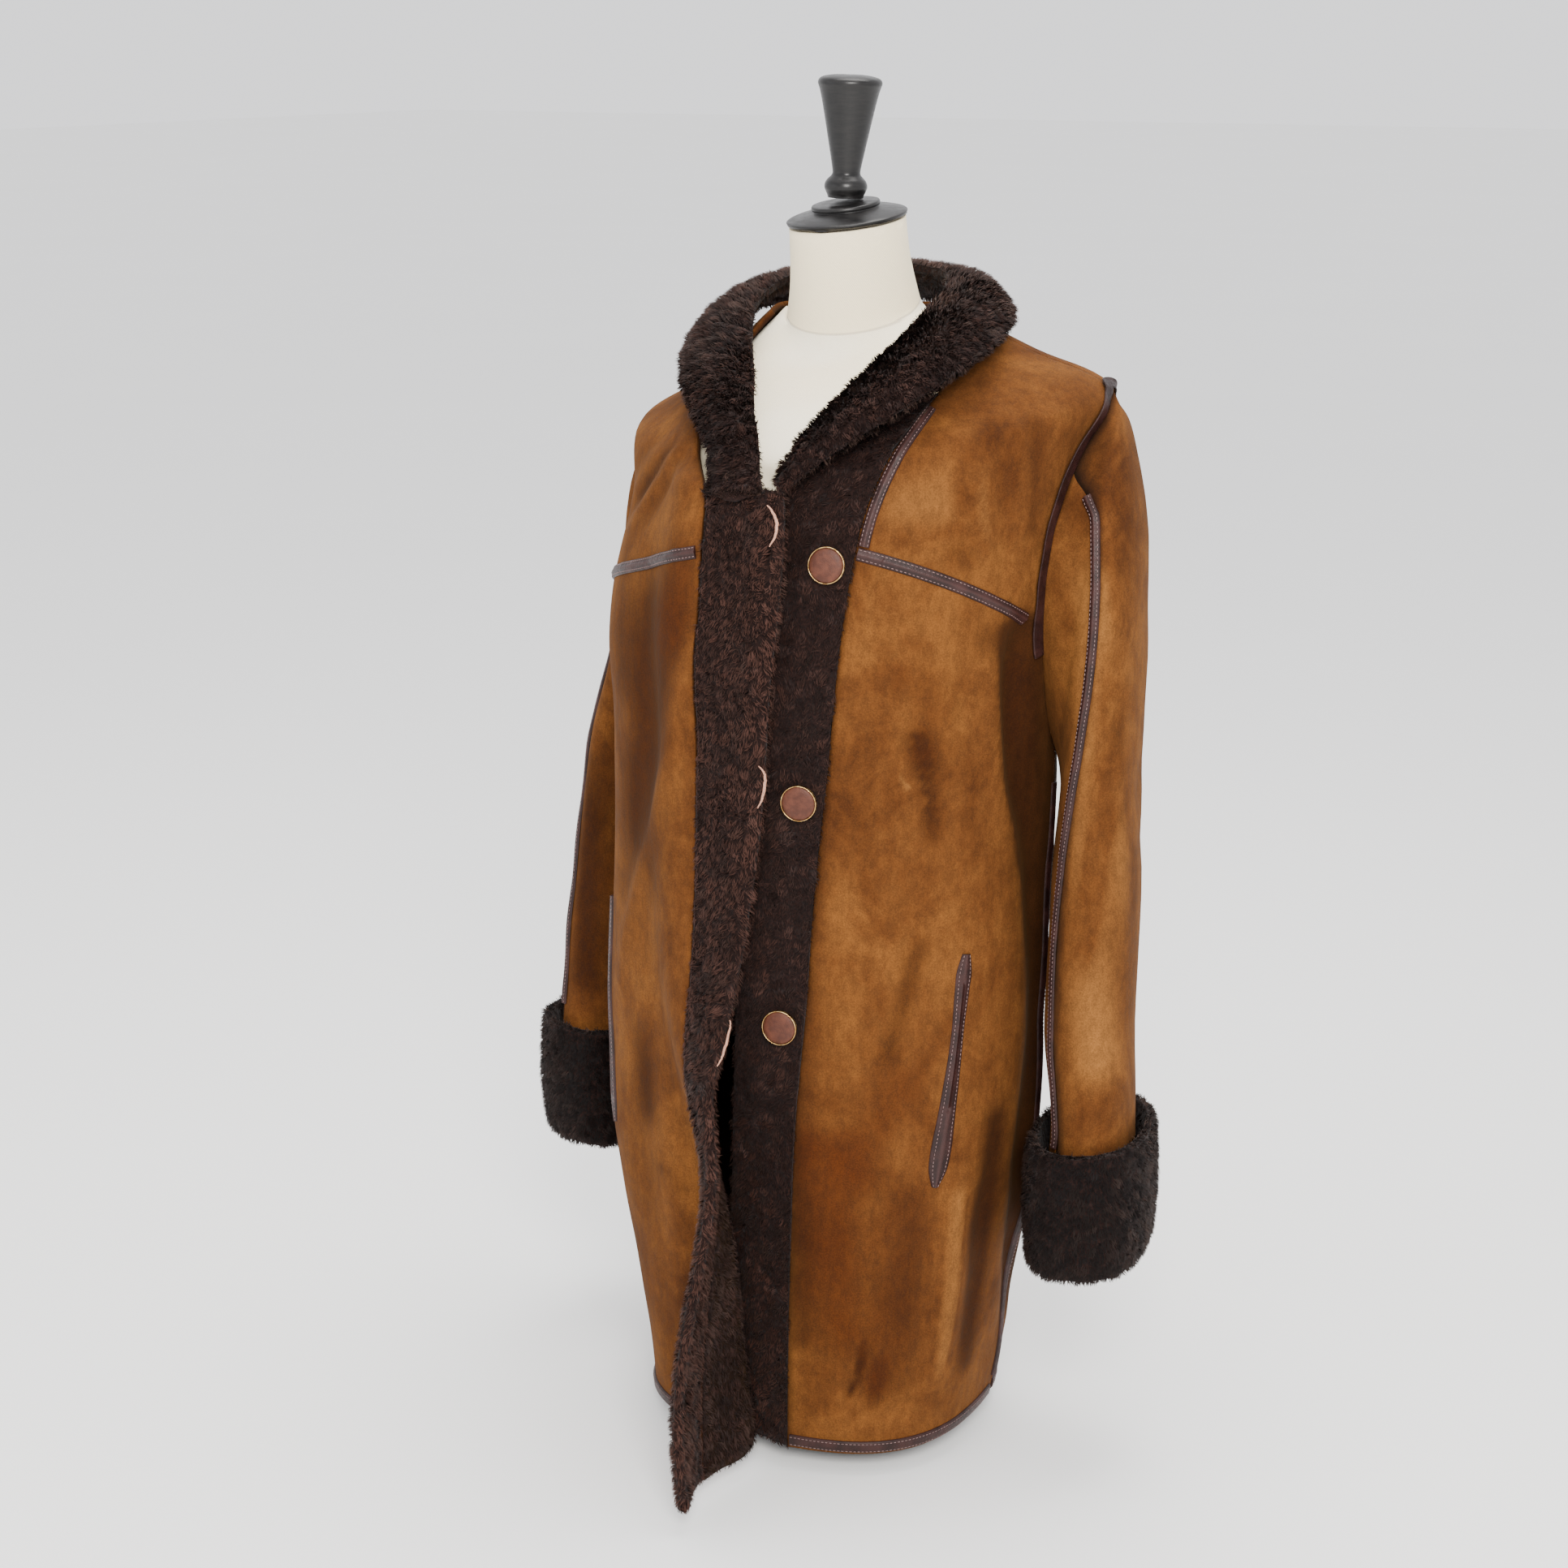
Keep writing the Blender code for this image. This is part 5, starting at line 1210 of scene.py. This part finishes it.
# each buttonhole is a bound rim that curves over the right band
holeLook = {
    "lift": 0.0042,
    "wide": 0.0013,
    "high": 0.0010,
    "sides": 8,
    "paths": [
        [
            (0.0276, -0.1411, 0.7513), (0.0319, -0.1420, 0.7478), (0.0358, -0.1433, 0.7420),
            (0.0372, -0.1448, 0.7360), (0.0364, -0.1468, 0.7294), (0.0335, -0.1486, 0.7237),
        ],
        [
            (0.0270, -0.1535, 0.5665), (0.0301, -0.1525, 0.5611), (0.0308, -0.1520, 0.5540),
            (0.0300, -0.1522, 0.5467), (0.0284, -0.1528, 0.5403), (0.0255, -0.1538, 0.5344),
        ],
        [
            (0.0115, -0.1740, 0.3783), (0.0138, -0.1750, 0.3720), (0.0142, -0.1775, 0.3650),
            (0.0134, -0.1800, 0.3580), (0.0112, -0.1825, 0.3510), (0.0078, -0.1850, 0.3450),
        ],
    ],
}


def makeButtons():
    for number in (1, 2, 3):
        disc = refined(f"button_{number}", f"button_{number}_leather", 55, 0.4)
        softened(disc)
        dress(disc, buttonLeather, "leather", f"button_{number}")
        rim = refined(f"button_rim_{number}", f"button_rim_{number}_brass", 60, 0.25)
        softened(rim)
        dress(rim, brass, "gold", f"button_rim_{number}")


def makeButtonholes():
    band = treeOf(furs["right_band"])
    sides = holeLook["sides"]
    for number, path in enumerate(holeLook["paths"]):
        line = curveThrough([Vector(spot) for spot in path], 12)
        points = []
        last = len(line) - 1
        for j, spot in enumerate(line):
            place, normal = band.find_nearest(spot)[:2]
            along = (line[min(j + 1, last)] - line[max(j - 1, 0)]).normalized()
            side = normal.cross(along).normalized()
            swell = 0.3 + 0.7 * math.sin(math.pi * j / last)
            centre = place + normal * holeLook["lift"]
            for k in range(sides):
                a = math.tau * k / sides
                over, up = math.cos(a) * holeLook["wide"] * swell, math.sin(a) * holeLook["high"] * swell
                points.append(centre + side * over + normal * up)
        hole = tubeFrom(f"buttonhole_{number + 1}", points, sides)
        applied(hole, "SUBSURF", levels=1, render_levels=1)
        softened(hole)
        dress(hole, copperThread, "leather")


makeButtons()
makeButtonholes()
print("coat: buttons and buttonholes made")


def makeForm():
    body = refined("form_body", "form_jersey", 50)
    softened(body, 45)
    dress(body, jersey, "form", "form_body")
    for node, finish, slot, hard in (
        ("form_cap", blackWood, "black", 50),
        ("form_finial", blackWood, "black", 60),
        ("form_pole", steel, "steel", 40),
        ("form_base", steel, "steel", 40),
    ):
        piece = refined(node, node + "_turned", hard, 0.8)
        softened(piece, 40)
        dress(piece, finish, slot, node)


makeForm()
print("coat: form made")

roomLook = {"floor": (0.93, 0.93, 0.92), "air": (0.98, 0.98, 1.0), "airStrength": 1.5}
lampLook = {
    "key_panel": {
        "at": (1.5, -2.4, 2.1), "aim": 0.55, "size": 1.1, "power": 135.0, "colour": (1.0, 0.97, 0.93),
    },
    "fill_panel": {
        "at": (-1.9, -1.9, 1.2), "aim": 0.5, "size": 1.8, "power": 8.0, "colour": (0.95, 0.97, 1.0),
    },
    "top_panel": {
        "at": (0.1, 0.3, 2.7), "aim": 0.6, "size": 1.4, "power": 48.0, "colour": (1.0, 0.98, 0.95),
    },
}
cameraLook = {"at": (0.94439, -1.84126, 1.078), "down": 15.3, "round": 28.0, "lens": 64.04, "sensor": 36.0}


def makeRoom():
    bpy.ops.object.select_all(action="DESELECT")
    bpy.ops.mesh.primitive_plane_add(size=40.0, location=(0.0, 8.0, 0.0))
    floor = bpy.context.object
    floor.name = "studio_floor"
    bpy.ops.object.transform_apply(location=True, rotation=True, scale=True)
    finish = Finish("pale_floor", Roughness=0.9, Specular_IOR_Level=0.1)
    soft = finish.cloud(1.4, 2.0, 0.5)
    paler = tuple(min(value + 0.03, 1.0) for value in roomLook["floor"])
    finish.paint(Base_Color=finish.mixed(soft, roomLook["floor"], paler))
    floor.data.materials.append(finish.material)
    world = bpy.data.worlds.new("studio_air")
    bpy.context.scene.world = world
    world.use_nodes = True
    world.node_tree.nodes["Background"].inputs["Color"].default_value = (*roomLook["air"], 1.0)
    world.node_tree.nodes["Background"].inputs["Strength"].default_value = roomLook["airStrength"]


def makeLights():
    for name, look in lampLook.items():
        lamp = bpy.data.lights.new(name, "AREA")
        lamp.size = look["size"]
        lamp.energy = look["power"]
        lamp.color = look["colour"]
        holder = bpy.data.objects.new(name, lamp)
        bpy.context.scene.collection.objects.link(holder)
        holder.location = look["at"]
        way = Vector((0.0, 0.0, look["aim"])) - Vector(look["at"])
        holder.rotation_euler = way.to_track_quat("-Z", "Y").to_euler()


def makeCamera():
    camera = bpy.data.cameras.new("shown_view")
    holder = bpy.data.objects.new("shown_view", camera)
    bpy.context.scene.collection.objects.link(holder)
    camera.sensor_width = cameraLook["sensor"]
    camera.lens = cameraLook["lens"]
    camera.clip_end = 100.0
    holder.location = cameraLook["at"]
    holder.rotation_euler = (math.radians(90.0 - cameraLook["down"]), 0.0, math.radians(cameraLook["round"]))
    bpy.context.scene.camera = holder


makeRoom()
makeLights()
makeCamera()
print("coat: room, light and camera made")

dropSelection()
